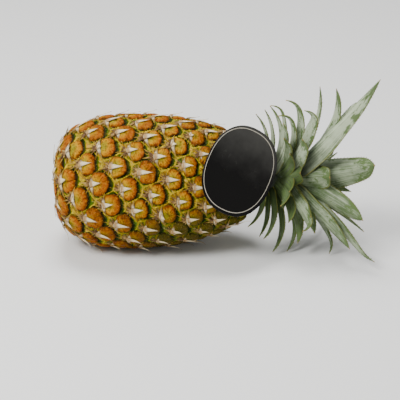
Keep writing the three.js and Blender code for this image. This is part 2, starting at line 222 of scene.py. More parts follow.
@dataclass(frozen=True)
class Spiral:
    """The spiral of eyes: each takes a share of skin, a golden angle on from the last."""

    first: int = 2
    last: int = 156
    middle: int = 70
    middle_area: float = 37080
    eye_area: float = 471.2
    area_loss: float = 0.842
    middle_angle: float = 27.9
    golden_angle: float = 137.425
    drift: float = 3.445

    def numbers(self) -> np.ndarray:
        """Numbers of the eyes from the stalk to the crown."""
        return np.arange(self.first, self.last + 1)

    def places(self, table: dict[str, np.ndarray]) -> tuple[np.ndarray, np.ndarray, np.ndarray]:
        """Works out where the eyes sit.

        Args:
            table: The measured barrel.

        Returns:
            Stations, azimuths in radians and sizes, where 1 is an eye of the middle.
        """
        count = self.numbers() - self.middle
        area = self.middle_area + self.eye_area * count - self.area_loss * count ** 2
        share = self.eye_area - 2 * self.area_loss * count
        angle = self.middle_angle - self.golden_angle * count - self.drift * (count / 50) ** 2
        station = np.interp(area, table["area"], table["station"])
        return station, np.radians(angle), np.sqrt(share / self.eye_area)


# Writing materials

class Term:
    """A number that varies over a surface, so that sums can be written with it."""

    def __init__(self, paint: "Paint", socket: bpy.types.NodeSocket) -> None:
        """Wraps a socket of a material."""
        self.paint = paint
        self.socket = socket

    def sum(self, operation: str, *values: "Term | float") -> "Term":
        """Adds one Math node on the values.

        Args:
            operation: What the node works out.
            values: Numbers or other terms.

        Returns:
            What comes out of it.
        """
        node = self.paint.node("ShaderNodeMath", {"operation": operation}, dict(enumerate(values)))
        return Term(self.paint, node.outputs[0])

    def __add__(self, other: "Term | float") -> "Term":
        """Adds."""
        return self.sum("ADD", self, other)

    __radd__ = __add__

    def __sub__(self, other: "Term | float") -> "Term":
        """Takes the other away."""
        return self.sum("SUBTRACT", self, other)

    def __rsub__(self, other: "Term | float") -> "Term":
        """Is taken away from the other."""
        return self.sum("SUBTRACT", other, self)

    def __mul__(self, other: "Term | float") -> "Term":
        """Multiplies."""
        return self.sum("MULTIPLY", self, other)

    __rmul__ = __mul__

    def __pow__(self, other: "Term | float") -> "Term":
        """Raises to a power."""
        return self.sum("POWER", self, other)

    def size(self) -> "Term":
        """Drops the sign."""
        return self.sum("ABSOLUTE", self)

    def band(self, low: float, high: float) -> "Term":
        """Rises smoothly from 0 at low to 1 at high, or falls where low is the greater.

        Args:
            low: Where it is 0.
            high: Where it is 1.

        Returns:
            The share.
        """
        turned = low > high
        settings = {"interpolation_type": "SMOOTHSTEP"}
        sockets = {"Value": self, "From Min": min(low, high), "From Max": max(low, high)}
        node = self.paint.node("ShaderNodeMapRange", settings, sockets)
        risen = Term(self.paint, node.outputs["Result"])
        return 1 - risen if turned else risen


class Paint:
    """One material, built from nodes on a Principled shader."""

    def __init__(self, name: str, **constants: float) -> None:
        """Starts a material whose shader has the given constants.

        Args:
            name: The material's name.
            constants: Shader inputs that are the same all over, with _ for a space.
        """
        self.material = bpy.data.materials.new(name)
        self.material.use_nodes = True
        self.tree = self.material.node_tree
        self.tree.nodes.clear()
        self.shader = self.node("ShaderNodeBsdfPrincipled", {}, {})
        for key, value in constants.items():
            self.shader.inputs[key.replace("_", " ")].default_value = value
        output = self.node("ShaderNodeOutputMaterial", {}, {})
        self.tree.links.new(self.shader.outputs[0], output.inputs["Surface"])

    def node(self, kind: str, settings: dict, sockets: dict) -> bpy.types.Node:
        """Adds a node.

        Args:
            kind: The node's type.
            settings: Its own settings, and stops for a colour ramp.
            sockets: Values or links of its inputs, by name or number.

        Returns:
            The new node.
        """
        node = self.tree.nodes.new(kind)
        for key, value in settings.items():
            if key == "stops":
                self.set_stops(node.color_ramp, value)
            else:
                setattr(node, key, value)
        for key, value in sockets.items():
            socket = value.socket if isinstance(value, Term) else value
            if isinstance(socket, bpy.types.NodeSocket):
                self.tree.links.new(socket, node.inputs[key])
            else:
                node.inputs[key].default_value = socket
        return node

    @staticmethod
    def set_stops(ramp: bpy.types.ColorRamp, stops: list[tuple[float, tuple]]) -> None:
        """Gives a colour ramp its stops.

        Args:
            ramp: The ramp.
            stops: Positions and their colours.
        """
        while len(ramp.elements) < len(stops):
            ramp.elements.new(0.5)
        for element, (position, colour) in zip(ramp.elements, stops):
            element.position = position
            element.color = colour

    def split(self, name: str) -> tuple[Term, Term, Term]:
        """Reads the three numbers of a vector attribute of the piece."""
        parts = self.node("ShaderNodeSeparateXYZ", {}, {0: self.attribute(name)})
        return tuple(Term(self, socket) for socket in parts.outputs)

    def attribute(self, name: str) -> bpy.types.NodeSocket:
        """Reads a vector attribute of the piece."""
        return self.node("ShaderNodeAttribute", {"attribute_name": name}, {}).outputs["Vector"]

    def join(self, *values: Term | float) -> bpy.types.NodeSocket:
        """Makes a vector of three numbers."""
        return self.node("ShaderNodeCombineXYZ", {}, dict(enumerate(values))).outputs[0]

    def points(self) -> bpy.types.NodeSocket:
        """The place on the piece, in metres."""
        return self.node("ShaderNodeTexCoord", {}, {}).outputs["Object"]

    def noise(self, vector: bpy.types.NodeSocket, scale: float, detail: float = 3,
              rough: float = 0.5) -> Term:
        """A cloudy pattern around 0.5."""
        sockets = {"Vector": vector, "Scale": scale, "Detail": detail, "Roughness": rough}
        return Term(self, self.node("ShaderNodeTexNoise", {}, sockets).outputs["Fac"])

    def cells(self, vector: bpy.types.NodeSocket, scale: float) -> Term:
        """Distance from the nearest of many scattered points."""
        sockets = {"Vector": vector, "Scale": scale}
        return Term(self, self.node("ShaderNodeTexVoronoi", {}, sockets).outputs["Distance"])

    def ramp(self, value: Term, stops: list[tuple[float, tuple]]) -> bpy.types.NodeSocket:
        """Colours a number from 0 to 1."""
        return self.node("ShaderNodeValToRGB", {"stops": stops}, {0: value}).outputs["Color"]

    def mix(self, factor: Term, first: object, second: object) -> bpy.types.NodeSocket:
        """Goes from the first colour to the second as factor goes from 0 to 1."""
        settings = {"data_type": "RGBA"}
        return self.node("ShaderNodeMix", settings, {0: factor, 6: first, 7: second}).outputs[2]

    def dress(self, colour: bpy.types.NodeSocket, roughness: Term, height: Term, depth: float) -> None:
        """Feeds the shader its colour, roughness and fine relief.

        Args:
            colour: The base colour.
            roughness: The roughness.
            height: The relief, in units of depth.
            depth: How many metres a height of 1 stands for.
        """
        bump = self.node("ShaderNodeBump", {}, {"Distance": depth, "Height": height, "Strength": 1.0})
        self.tree.links.new(colour, self.shader.inputs["Base Color"])
        self.tree.links.new(roughness.socket, self.shader.inputs["Roughness"])
        self.tree.links.new(bump.outputs[0], self.shader.inputs["Normal"])


# The finishes; the relief of each is in metres

@dataclass
class RindMarks:
    """What varies over the rind: places in the eye and its fan, and the noises laid over them."""

    reach: Term
    edge: Term
    pit: Term
    chance: Term
    green_share: Term
    arm: Term
    fan: Term
    knot: Term
    heart: Term
    cloud: Term
    patch: Term
    fine: Term
    mottle: Term
    wrinkle: Term
    strand: Term

    @classmethod
    def read(cls, paint: Paint) -> "RindMarks":
        """Reads the eyes' own attributes and adds the noises.

        Args:
            paint: The rind's material.

        Returns:
            The marks.
        """
        reach, edge, pit = paint.split("eye_place")
        place = paint.points()
        mottle = paint.noise(place, 420, 3, 0.6)
        uneven = reach + (mottle - 0.5) * 0.22 * reach.band(0.6, 0.9)
        return cls(
            uneven, edge, pit, *paint.split("eye_look"), *paint.split("fan_look"),
            cloud=paint.noise(place, 150, 4, 0.6), patch=paint.noise(place, 75, 2, 0.5),
            fine=paint.noise(place, 1100, 3, 0.6), mottle=mottle,
            wrinkle=paint.noise(paint.attribute("disc_ray"), 1.0, 3, 0.6),
            strand=paint.noise(paint.attribute("fan_ray"), 1.0, 4, 0.7))


@dataclass(frozen=True)
class RindFinish:
    """Golden orange discs in yellow seams that turn green where they sink, with painted shade in the lowest
    hollows and in the crevice round each disc.
    """

    heart: tuple = srgb(150, 138, 24)
    gold: tuple = srgb(188, 134, 0)
    orange: tuple = srgb(166, 86, 0)
    rust: tuple = srgb(92, 34, 0)
    # painted shade: the thin dark line in the crevice round each disc
    outline: tuple = srgb(46, 28, 2)
    yellow: tuple = srgb(190, 146, 0)
    # pale yellow of the seam ridges, partly the skin's colour and partly a painted highlight
    ridge: tuple = srgb(222, 190, 40)
    green: tuple = srgb(66, 98, 0)
    # painted shade: near-black green laid in the lowest hollows between the eyes
    painted_hollow_shade: tuple = srgb(22, 38, 0)
    unripe: tuple = srgb(52, 64, 1)
    fibre: tuple = srgb(206, 176, 118)
    husk: tuple = srgb(84, 50, 30)
    fleck: tuple = srgb(216, 190, 110)
    relief: float = 0.0016

    def colour_disc(self, paint: Paint, marks: RindMarks) -> bpy.types.NodeSocket:
        """Colours the disc from its green-gold heart out to a rusty rim.

        Args:
            paint: The rind's material.
            marks: What varies over it.

        Returns:
            The colour.
        """
        around = marks.heart + (marks.cloud - 0.5) * 0.5
        around = around + (marks.wrinkle - 0.5) * 0.4 + (marks.chance - 0.5) * 0.4
        disc = paint.ramp(around, [(0.1, self.heart), (0.4, self.gold), (0.72, self.orange)])
        disc = paint.mix(marks.reach.band(0.74, 1.0) * 0.75, disc, self.rust)
        disc = paint.mix(marks.wrinkle.band(0.54, 0.66) * 0.7, disc, self.rust)
        disc = paint.mix(marks.mottle.band(0.54, 0.64) * 0.62, disc, self.rust)
        disc = paint.mix(marks.mottle.band(0.45, 0.3) * 0.6, disc, self.gold)
        return paint.mix(marks.green_share * 0.85, disc, self.unripe)

    def colour_ground(self, paint: Paint, marks: RindMarks) -> bpy.types.NodeSocket:
        """Colours what lies between the discs: fans of fibres, green hollows that darken to painted shade,
        and pale seams that are partly a painted highlight.

        Args:
            paint: The rind's material.
            marks: What varies over it.

        Returns:
            The colour.
        """
        unripe = (marks.patch * 2.6 + marks.cloud * 1.6 + marks.green_share * 1.1 - 2.1).band(0.0, 0.5)
        ground = paint.mix(unripe, self.yellow, self.green)
        ground = paint.mix(marks.strand.band(0.49, 0.57) * marks.fan * 0.95, ground, self.husk)
        ground = paint.mix(marks.strand.band(0.47, 0.36) * marks.fan * 0.7, ground, self.fibre)
        ground = paint.mix(marks.arm * 0.6, ground, self.yellow)
        # Painted shade over real green: the hollows on each disc's crown side and at its ends, and a little
        # along the seams, go green and, lowest down, near-black
        sunk = marks.pit + marks.edge.band(1.2, 0.1) * 0.3
        sunk = (sunk + (marks.cloud - 0.5) * 0.8 + (marks.patch - 0.5) * 1.2).band(0.1, 0.6)
        hollow = paint.mix(marks.pit.band(0.3, 0.9), self.green, self.painted_hollow_shade)
        ground = paint.mix(sunk * 0.95, ground, hollow)
        # Pale seam ridges, partly the skin's colour and partly a painted highlight, greener on unripe eyes
        seam = marks.edge.band(1.2, 0.4) * marks.pit.band(0.6, 0.2) * marks.cloud.band(0.34, 0.46)
        return paint.mix(seam * 0.9, ground, paint.mix(marks.green_share * 0.7, self.ridge, self.green))

    def make(self) -> bpy.types.Material:
        """Builds the material from the eyes' own attributes.

        Returns:
            The material.
        """
        paint = Paint("rind_golden", Specular_IOR_Level=0.1)
        marks = RindMarks.read(paint)
        disc = self.colour_disc(paint, marks)
        colour = paint.mix(marks.reach.band(0.97, 1.03), disc, self.colour_ground(paint, marks))
        # Painted shade: a thin dark line just outside each disc's rim, in its crevice, fainter on the pale
        # arms
        ring = (marks.reach - 1.03).size().band(0.08, 0.02) * (1 - marks.arm * 0.8)
        colour = paint.mix(ring * 0.8, colour, self.outline)
        colour = paint.mix(marks.knot * 0.6, colour, self.husk)
        fleck = paint.cells(paint.points(), 560).band(0.2, 0.1)
        colour = paint.mix(fleck * 0.3, colour, self.fleck)
        height = marks.fine * 0.5 + marks.cloud * 0.5 + marks.mottle * 1.1
        height = height + marks.wrinkle * 1.6 + marks.strand * marks.fan * 1.8
        paint.dress(colour, 0.4 + marks.fine * 0.35, height, self.relief)
        return paint.material


@dataclass(frozen=True)
class BractFinish:
    """Dry papery scale: a cream to white tip on a ragged star of tan and brown strands."""

    knot: tuple = srgb(164, 134, 88)
    white: tuple = srgb(236, 220, 180)
    shade: tuple = srgb(166, 128, 80)
    scorched: tuple = srgb(112, 60, 30)
    strand: tuple = srgb(172, 138, 74)
    husk: tuple = srgb(84, 54, 28)
    ochre: tuple = srgb(166, 132, 8)
    relief: float = 0.0004

    def make(self) -> bpy.types.Material:
        """Builds the material from the strands' own length and width attribute.

        Returns:
            The material.
        """
        paint = Paint("bract_papery", Specular_IOR_Level=0.25)
        length, side, kind = paint.split("scale_place")
        place = paint.points()
        lengthwise = paint.join(length * 1.6, side * 7.0, kind * 9.0)
        fibres = paint.noise(lengthwise, 1.9, 4, 0.65)
        cloud = paint.noise(place, 260, 3, 0.6)
        tip = paint.ramp(length + (cloud - 0.5) * 0.3, [
            (0.0, self.knot), (0.12, self.shade), (0.3, self.white), (0.75, self.white),
            (1.0, self.scorched)])
        tip = paint.mix(fibres.band(0.5, 0.62) * 0.75, tip, self.shade)
        strand = paint.mix((cloud + fibres * 0.6).band(0.66, 0.86), self.strand, self.husk)
        arm = kind.band(0.1, 0.19)
        strand = paint.mix(length.band(0.6, 0.2) * arm * 0.8, strand, self.white)
        strand = paint.mix(length.band(0.4, 0.95) * 0.85, strand, self.ochre)
        strand = paint.mix(fibres.band(0.54, 0.7) * 0.4, strand, self.white)
        colour = paint.mix(kind.band(0.5, 0.9), strand, tip)
        paint.dress(colour, 0.62 + fibres * 0.25, fibres * 1.5 + cloud * 0.4, self.relief)
        return paint.material


@dataclass(frozen=True)
class LeafFinish:
    """Green blade under a chalky silver bloom, with fine lengthwise veins and rubbed patches, darkened by
    painted shade at its foot and on shaded leaves.
    """

    silver: tuple = srgb(172, 184, 154)
    dusk: tuple = srgb(60, 79, 45)
    green: tuple = srgb(62, 88, 22)
    # painted shade: near-black green at the blades' foot, where the leaves crowd together
    base: tuple = srgb(14, 22, 6)
    inner: tuple = srgb(88, 108, 56)
    margin: tuple = srgb(128, 124, 40)
    dry: tuple = srgb(176, 136, 76)
    relief: float = 0.0006

    def make(self) -> bpy.types.Material:
        """Builds the material from the blade's length, width and face attribute.

        Returns:
            The material.
        """
        paint = Paint("leaf_bloom", Specular_IOR_Level=0.3)
        length, side, face = paint.split("blade_place")
        # The third number of blade_look is the leaf's painted shade
        chance, size, shade = paint.split("blade_look")
        place = paint.points()
        veins = paint.noise(paint.join(length * 0.8, side * size, chance * 31.0), 2.6, 3, 0.75)
        cloud = paint.noise(place, 45, 4, 0.6)
        # Painted shade takes bloom away from shaded leaves
        bloom = (veins * 1.1 + cloud * 0.7 + length * 0.25 - shade * 0.5).band(0.68, 1.12)
        bloom = paint.mix(bloom, self.dusk, self.silver)
        rubbed = paint.noise(paint.join(length * 5.0, side * 1.3, chance * 17.0), 1.7, 5, 0.8)
        tips = length ** 5 * 0.26 + side.size() ** 3 * 0.12 + 0.1
        wear = (rubbed + tips).band(0.68, 0.76) * length.band(0.1, 0.5)
        outer = paint.mix(wear * 0.85, bloom, self.green)
        inner = paint.mix(veins.band(0.4, 0.65), self.inner, self.dusk)
        inner = paint.mix(cloud.band(0.42, 0.62) * 0.45, inner, self.silver)
        colour = paint.mix(face, outer, inner)
        # Painted shade: shaded leaves go dark green
        colour = paint.mix(shade, colour, paint.mix(veins.band(0.4, 0.65), self.inner, self.base))
        # Painted shade: each blade darkens to near-black towards its foot, inside the crown
        colour = paint.mix(length.band(0.44, 0.06) * 0.93, colour, self.base)
        colour = paint.mix(side.size().band(0.93, 0.99) * 0.5, colour, self.margin)
        colour = paint.mix(length.band(0.975, 1.0) * 0.7, colour, self.dry)
        paint.dress(colour, 0.5 + veins * 0.2, veins + rubbed * 0.3, self.relief)
        return paint.material


@dataclass(frozen=True)
class StalkFinish:
    """Dry cut end: pale strands in a browner ground."""

    pale: tuple = srgb(206, 186, 140)
    brown: tuple = srgb(134, 104, 66)
    relief: float = 0.0005

    def make(self) -> bpy.types.Material:
        """Builds the material on the stalk's own place.

        Returns:
            The material.
        """
        paint = Paint("stalk_cut")
        place = paint.points()
        strands = paint.cells(place, 700).band(0.1, 0.5)
        cloud = paint.noise(place, 240, 4, 0.6)
        colour = paint.mix((strands * 0.7 + cloud * 0.6).band(0.3, 1.0), self.pale, self.brown)
        paint.dress(colour, 0.8 + cloud * 0.1, strands + cloud, self.relief)
        return paint.material


@dataclass(frozen=True)
class CardFinish:
    """Glossy black laminate with one thin pale line set in from the rim, under a painted grey reflection
    that grows lighter towards its upper end.
    """

    black: tuple = srgb(8, 7, 6)
    # painted reflection: grey laid into the black, standing in for the room mirrored in the gloss
    painted_reflection: tuple = srgb(62, 61, 58)
    pale: tuple = srgb(168, 162, 148)
    line_at: float = 0.93
    line_wide: float = 0.0062
    relief: float = 0.00003

    def make(self, card: "Card") -> bpy.types.Material:
        """Builds the material on the card's own flat coordinates.

        Args:
            card: The card whose oval the line follows.

        Returns:
            The material.
        """
        paint = Paint("card_laminate", Specular_IOR_Level=0.1, Coat_Weight=0.05, Coat_Roughness=0.1)
        across, along, front = paint.split("card_place")
        across = across + card.line_shift
        oval = (across.size() * (1 / card.half_width)) ** card.roundness
        oval = (oval + (along.size() * (1 / card.half_length)) ** card.roundness) ** (1 / card.roundness)
        line = (oval - self.line_at).size().band(self.line_wide * 1.4, self.line_wide) * front
        haze = paint.noise(paint.points(), 60, 3, 0.5)
        # Painted reflection: lighter towards the card's upper end, patchy with the haze
        painted_reflection = (along * (0.5 / card.half_length) + haze * 0.4).band(0.12, 0.8)
        colour = paint.mix(line, paint.mix(painted_reflection, self.black, self.painted_reflection), self.pale)
        paint.dress(colour, 0.2 + haze * 0.12, haze, self.relief)
        return paint.material


# Making meshes

def add_piece(name: str, points: np.ndarray, faces: list[list[int]], material: bpy.types.Material,
              attributes: dict[str, np.ndarray] | None = None) -> bpy.types.Object:
    """Makes a smooth-shaded mesh piece with its place in its mesh.

    Args:
        name: The piece's name.
        points: Its points in millimetres, one a row.
        faces: Its faces as lists of point numbers.
        material: Its finish.
        attributes: Vector attributes, one row a point.

    Returns:
        The new object.
    """
    mesh = bpy.data.meshes.new(name)
    mesh.from_pydata((np.asarray(points) * MM).tolist(), [], faces)
    for key, rows in (attributes or {}).items():
        layer = mesh.attributes.new(key, "FLOAT_VECTOR", "POINT")
        layer.data.foreach_set("vector", np.asarray(rows, np.float32).ravel())
    mesh.materials.append(material)
    mesh.shade_smooth()
    mesh.update()
    piece = bpy.data.objects.new(name, mesh)
    bpy.context.scene.collection.objects.link(piece)
    return piece


def tube_faces(base: int, rings: int, count: int) -> list[list[int]]:
    """Faces of a closed tube of rings with both ends capped.

    Args:
        base: Number of its first point.
        rings: How many rings it has.
        count: Points in a ring, anticlockwise as seen from its end.

    Returns:
        Its faces.
    """
    faces = []
    for row in range(rings - 1):
        for column in range(count):
            after = (column + 1) % count
            a = base + row * count
            faces.append([a + column, a + after, a + count + after, a + count + column])
    faces.append([base + column for column in reversed(range(count))])
    faces.append([base + (rings - 1) * count + column for column in range(count)])
    return faces


def drum_faces(rings: int, sides: int) -> list[list[int]]:
    """Faces of a closed drum whose points run from the middle of one face to that of the other.

    Args:
        rings: How many rings lie between the two middle points.
        sides: Points in a ring.

    Returns:
        Its faces.
    """
    faces = []
    last = 1 + (rings - 1) * sides
    for side in range(sides):
        after = (side + 1) % sides
        faces.append([0, 1 + side, 1 + after])
        for ring in range(rings - 1):
            a = 1 + ring * sides
            faces.append([a + side, a + sides + side, a + sides + after, a + after])
        faces.append([last + side, last + sides, last + after])
    return faces


def keep_inside(piece: bpy.types.Object, node: str) -> None:
    """Presses what would reach out of a solid's box back to it.

    Args:
        piece: The finer piece.
        node: The solid's name.
    """
    low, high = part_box(node)
    for point in piece.data.vertices:
        for axis in range(3):
            point.co[axis] = min(max(point.co[axis], low[axis]), high[axis])


# Growing many small copies with Geometry Nodes

class NodeTree:
    """A Geometry Nodes tree that is grown into a plain mesh."""

    def __init__(self, name: str) -> None:
        """Starts a tree with geometry in and out.

        Args:
            name: The tree's name.
        """
        self.group = bpy.data.node_groups.new(name, "GeometryNodeTree")
        self.group.interface.new_socket("Geometry", in_out="INPUT", socket_type="NodeSocketGeometry")
        self.group.interface.new_socket("Geometry", in_out="OUTPUT", socket_type="NodeSocketGeometry")
        self.values: dict[str, object] = {}
        self.source = self.group.nodes.new("NodeGroupInput")

    def named(self, name: str, kind: str, value: float | int) -> bpy.types.NodeSocket:
        """Adds a named input and remembers the value it gets.

        Args:
            name: The input's name.
            kind: Its socket's type.
            value: Its value.

        Returns:
            The socket that gives it inside the tree.
        """
        item = self.group.interface.new_socket(name, in_out="INPUT", socket_type=kind)
        self.values[item.identifier] = value
        return self.source.outputs[name]

    def node(self, kind: str, settings: dict, sockets: dict) -> bpy.types.Node:
        """Adds a node with its settings first and then its values or links.

        Args:
            kind: The node's type.
            settings: Its own settings.
            sockets: Values or links of its inputs, by name or number.

        Returns:
            The new node.
        """
        node = self.group.nodes.new(kind)
        for key, value in settings.items():
            setattr(node, key, value)
        for key, value in sockets.items():
            if isinstance(value, bpy.types.NodeSocket):
                self.group.links.new(value, node.inputs[key])
            else:
                node.inputs[key].default_value = value
        return node

    def attribute(self, name: str, kind: str) -> bpy.types.NodeSocket:
        """Reads a named attribute of the points."""
        node = self.node("GeometryNodeInputNamedAttribute", {"data_type": kind}, {"Name": name})
        return node.outputs["Attribute"]

    def grow(self, carrier: bpy.types.Object, geometry: bpy.types.NodeSocket,
             material: bpy.types.Material) -> bpy.types.Mesh:
        """Ends the tree and bakes what it makes of the carrier.

        Args:
            carrier: The object whose points the tree works on.
            geometry: The socket with the finished instances.
            material: The finish of what grows.

        Returns:
            A plain mesh.
        """
        real = self.node("GeometryNodeRealizeInstances", {}, {"Geometry": geometry})
        sockets = {"Geometry": real.outputs[0], "Material": material}
        finish = self.node("GeometryNodeSetMaterial", {}, sockets)
        output = self.group.nodes.new("NodeGroupOutput")
        self.group.links.new(finish.outputs[0], output.inputs[0])
        modifier = carrier.modifiers.new("grow", "NODES")
        modifier.node_group = self.group
        for identifier, value in self.values.items():
            modifier[identifier] = value
        graph = bpy.context.evaluated_depsgraph_get()
        mesh = bpy.data.meshes.new_from_object(carrier.evaluated_get(graph))
        carrier.modifiers.remove(modifier)
        return mesh


class Growth(Enum):
    """What a scatter sets on its points."""

    BRACTS = "bracts"
    SPINES = "leaf_spines"


@dataclass
class Scatter:
    """Sets copies of small variants on points, upright on the skin and turned along it."""

    growth: Growth
    points: np.ndarray
    outward: np.ndarray
    along: np.ndarray
    sizes: np.ndarray
    picks: np.ndarray
    size_spread: float
    seed: int

    def carrier(self) -> bpy.types.Object:
        """Makes the loose points that carry the copies.

        Returns:
            The object that holds them.
        """
        kinds = np.stack([self.sizes, self.picks, np.zeros(len(self.points))], 1)
        rows = {"outward": self.outward, "along": self.along, "copy": kinds}
        mesh = bpy.data.meshes.new(self.growth.value + "_points")
        mesh.from_pydata((self.points * MM).tolist(), [], [])
        for key, row in rows.items():
            layer = mesh.attributes.new(key, "FLOAT_VECTOR", "POINT")
            layer.data.foreach_set("vector", row.astype(np.float32).ravel())
        carrier = bpy.data.objects.new(self.growth.value + "_points", mesh)
        bpy.context.scene.collection.objects.link(carrier)
        return carrier

    def grow(self, variants: list[bpy.types.Object], material: bpy.types.Material) -> bpy.types.Object:
        """Sets the variants in turn on the points and joins them in one piece.

        Args:
            variants: Small pieces at the origin, +Z outwards and +X along.
            material: Their finish.

        Returns:
            The grown piece.
        """
        tree = NodeTree(self.growth.value + "_tree")
        spread = tree.named("Size Spread", "NodeSocketFloat", self.size_spread)
        seed = tree.named("Seed", "NodeSocketInt", self.seed)
        joined = tree.group.nodes.new("GeometryNodeJoinGeometry")
        for variant in reversed(variants):
            info = tree.node("GeometryNodeObjectInfo", {}, {"Object": variant, "As Instance": True})
            tree.group.links.new(info.outputs["Geometry"], joined.inputs[0])
        axes = {"primary_axis": "Z", "secondary_axis": "X"}
        turn = tree.node("FunctionNodeAxesToRotation", axes, {
            0: tree.attribute("outward", "FLOAT_VECTOR"), 1: tree.attribute("along", "FLOAT_VECTOR")})
        copy = tree.node("ShaderNodeSeparateXYZ", {}, {0: tree.attribute("copy", "FLOAT_VECTOR")})
        low = tree.node("ShaderNodeMath", {"operation": "SUBTRACT"}, {0: 1.0, 1: spread})
        high = tree.node("ShaderNodeMath", {"operation": "ADD"}, {0: 1.0, 1: spread})
        chance = tree.node("FunctionNodeRandomValue", {"data_type": "FLOAT"}, {
            2: low.outputs[0], 3: high.outputs[0], 8: seed})
        size = tree.node("ShaderNodeMath", {"operation": "MULTIPLY"}, {
            0: copy.outputs[0], 1: chance.outputs[1]})
        number = tree.node("FunctionNodeFloatToInt", {}, {0: copy.outputs[1]})
        placed = tree.node("GeometryNodeInstanceOnPoints", {}, {
            "Points": tree.source.outputs[0], "Instance": joined.outputs[0], "Pick Instance": True,
            "Instance Index": number.outputs[0], "Rotation": turn.outputs[0], "Scale": size.outputs[0]})
        carrier = self.carrier()
        mesh = tree.grow(carrier, placed.outputs[0], material)
        mesh.name = self.growth.value
        piece = bpy.data.objects.new(self.growth.value, mesh)
        bpy.context.scene.collection.objects.link(piece)
        for helper in [carrier, *variants]:
            bpy.data.objects.remove(helper)
        return piece


# The rind and its bracts

@dataclass
class EyeSpots:
    """Where points of the skin lie in their own eye and in the fan of the nearest bract."""

    owner: np.ndarray
    u: np.ndarray
    v: np.ndarray
    edge: np.ndarray
    fan_owner: np.ndarray
    fan_u: np.ndarray
    fan_v: np.ndarray

    @property
    def chance(self) -> np.ndarray:
        """A number between 0 and 1 for each eye."""
        return draw(self.owner, 5)

    @property
    def turn(self) -> np.ndarray:
        """Angle round the eye's centre."""
        return np.arctan2(self.v, self.u)

    @property
    def fan_turn(self) -> np.ndarray:
        """Angle round the bract's knot, 0 towards the stalk."""
        return np.arctan2(self.fan_v, -self.fan_u)

    @property
    def fan_reach(self) -> np.ndarray:
        """Distance from the bract's knot."""
        return np.hypot(self.fan_u, self.fan_v)

    @property
    def fan(self) -> np.ndarray:
        """How far a point lies in a bract's fan of fibres."""
        return smooth(self.fan_reach, 15, 11) * smooth(np.abs(self.fan_turn), 1.6, 1.15)


class StrandKind(Enum):
    """What a strand of a bract's star is."""

    TIP = 1.0
    ARM = 0.2
    FIBRE = 0.0


class BractForm(Enum):
    """What the tip of a bract has come to."""

    PLAIN = "plain"
    WORN = "worn"
    CURLED = "curled"


@dataclass(frozen=True)
class Strand:
    """One strand of a bract's star."""

    kind: StrandKind
    angle: float
    length: float
    half_width: float


BRACT_STAR = [
    Strand(StrandKind.TIP, 0, 14.5, 3.7),
    Strand(StrandKind.ARM, 82, 11.5, 1.9),
    Strand(StrandKind.ARM, -84, 12.5, 1.9),
    Strand(StrandKind.FIBRE, 108, 10.0, 1.1),
    Strand(StrandKind.FIBRE, 129, 11.0, 1.2),
    Strand(StrandKind.FIBRE, 148, 12.0, 1.3),
    Strand(StrandKind.FIBRE, 168, 13.0, 1.5),
    Strand(StrandKind.FIBRE, -174, 12.5, 1.4),
    Strand(StrandKind.FIBRE, -153, 12.0, 1.3),
    Strand(StrandKind.FIBRE, -133, 11.0, 1.2),
    Strand(StrandKind.FIBRE, -111, 10.0, 1.1),
]

# Points round a strand: share of its half width, and of its thickness below the ridge
STRAND_SECTION = ((1, 0.5), (0.5, 0.16), (0, 0), (-0.5, 0.16), (-1, 0.5), (0, 1))

BRACT_FORMS = [BractForm.PLAIN] * 7 + [BractForm.WORN] + [BractForm.CURLED] * 3


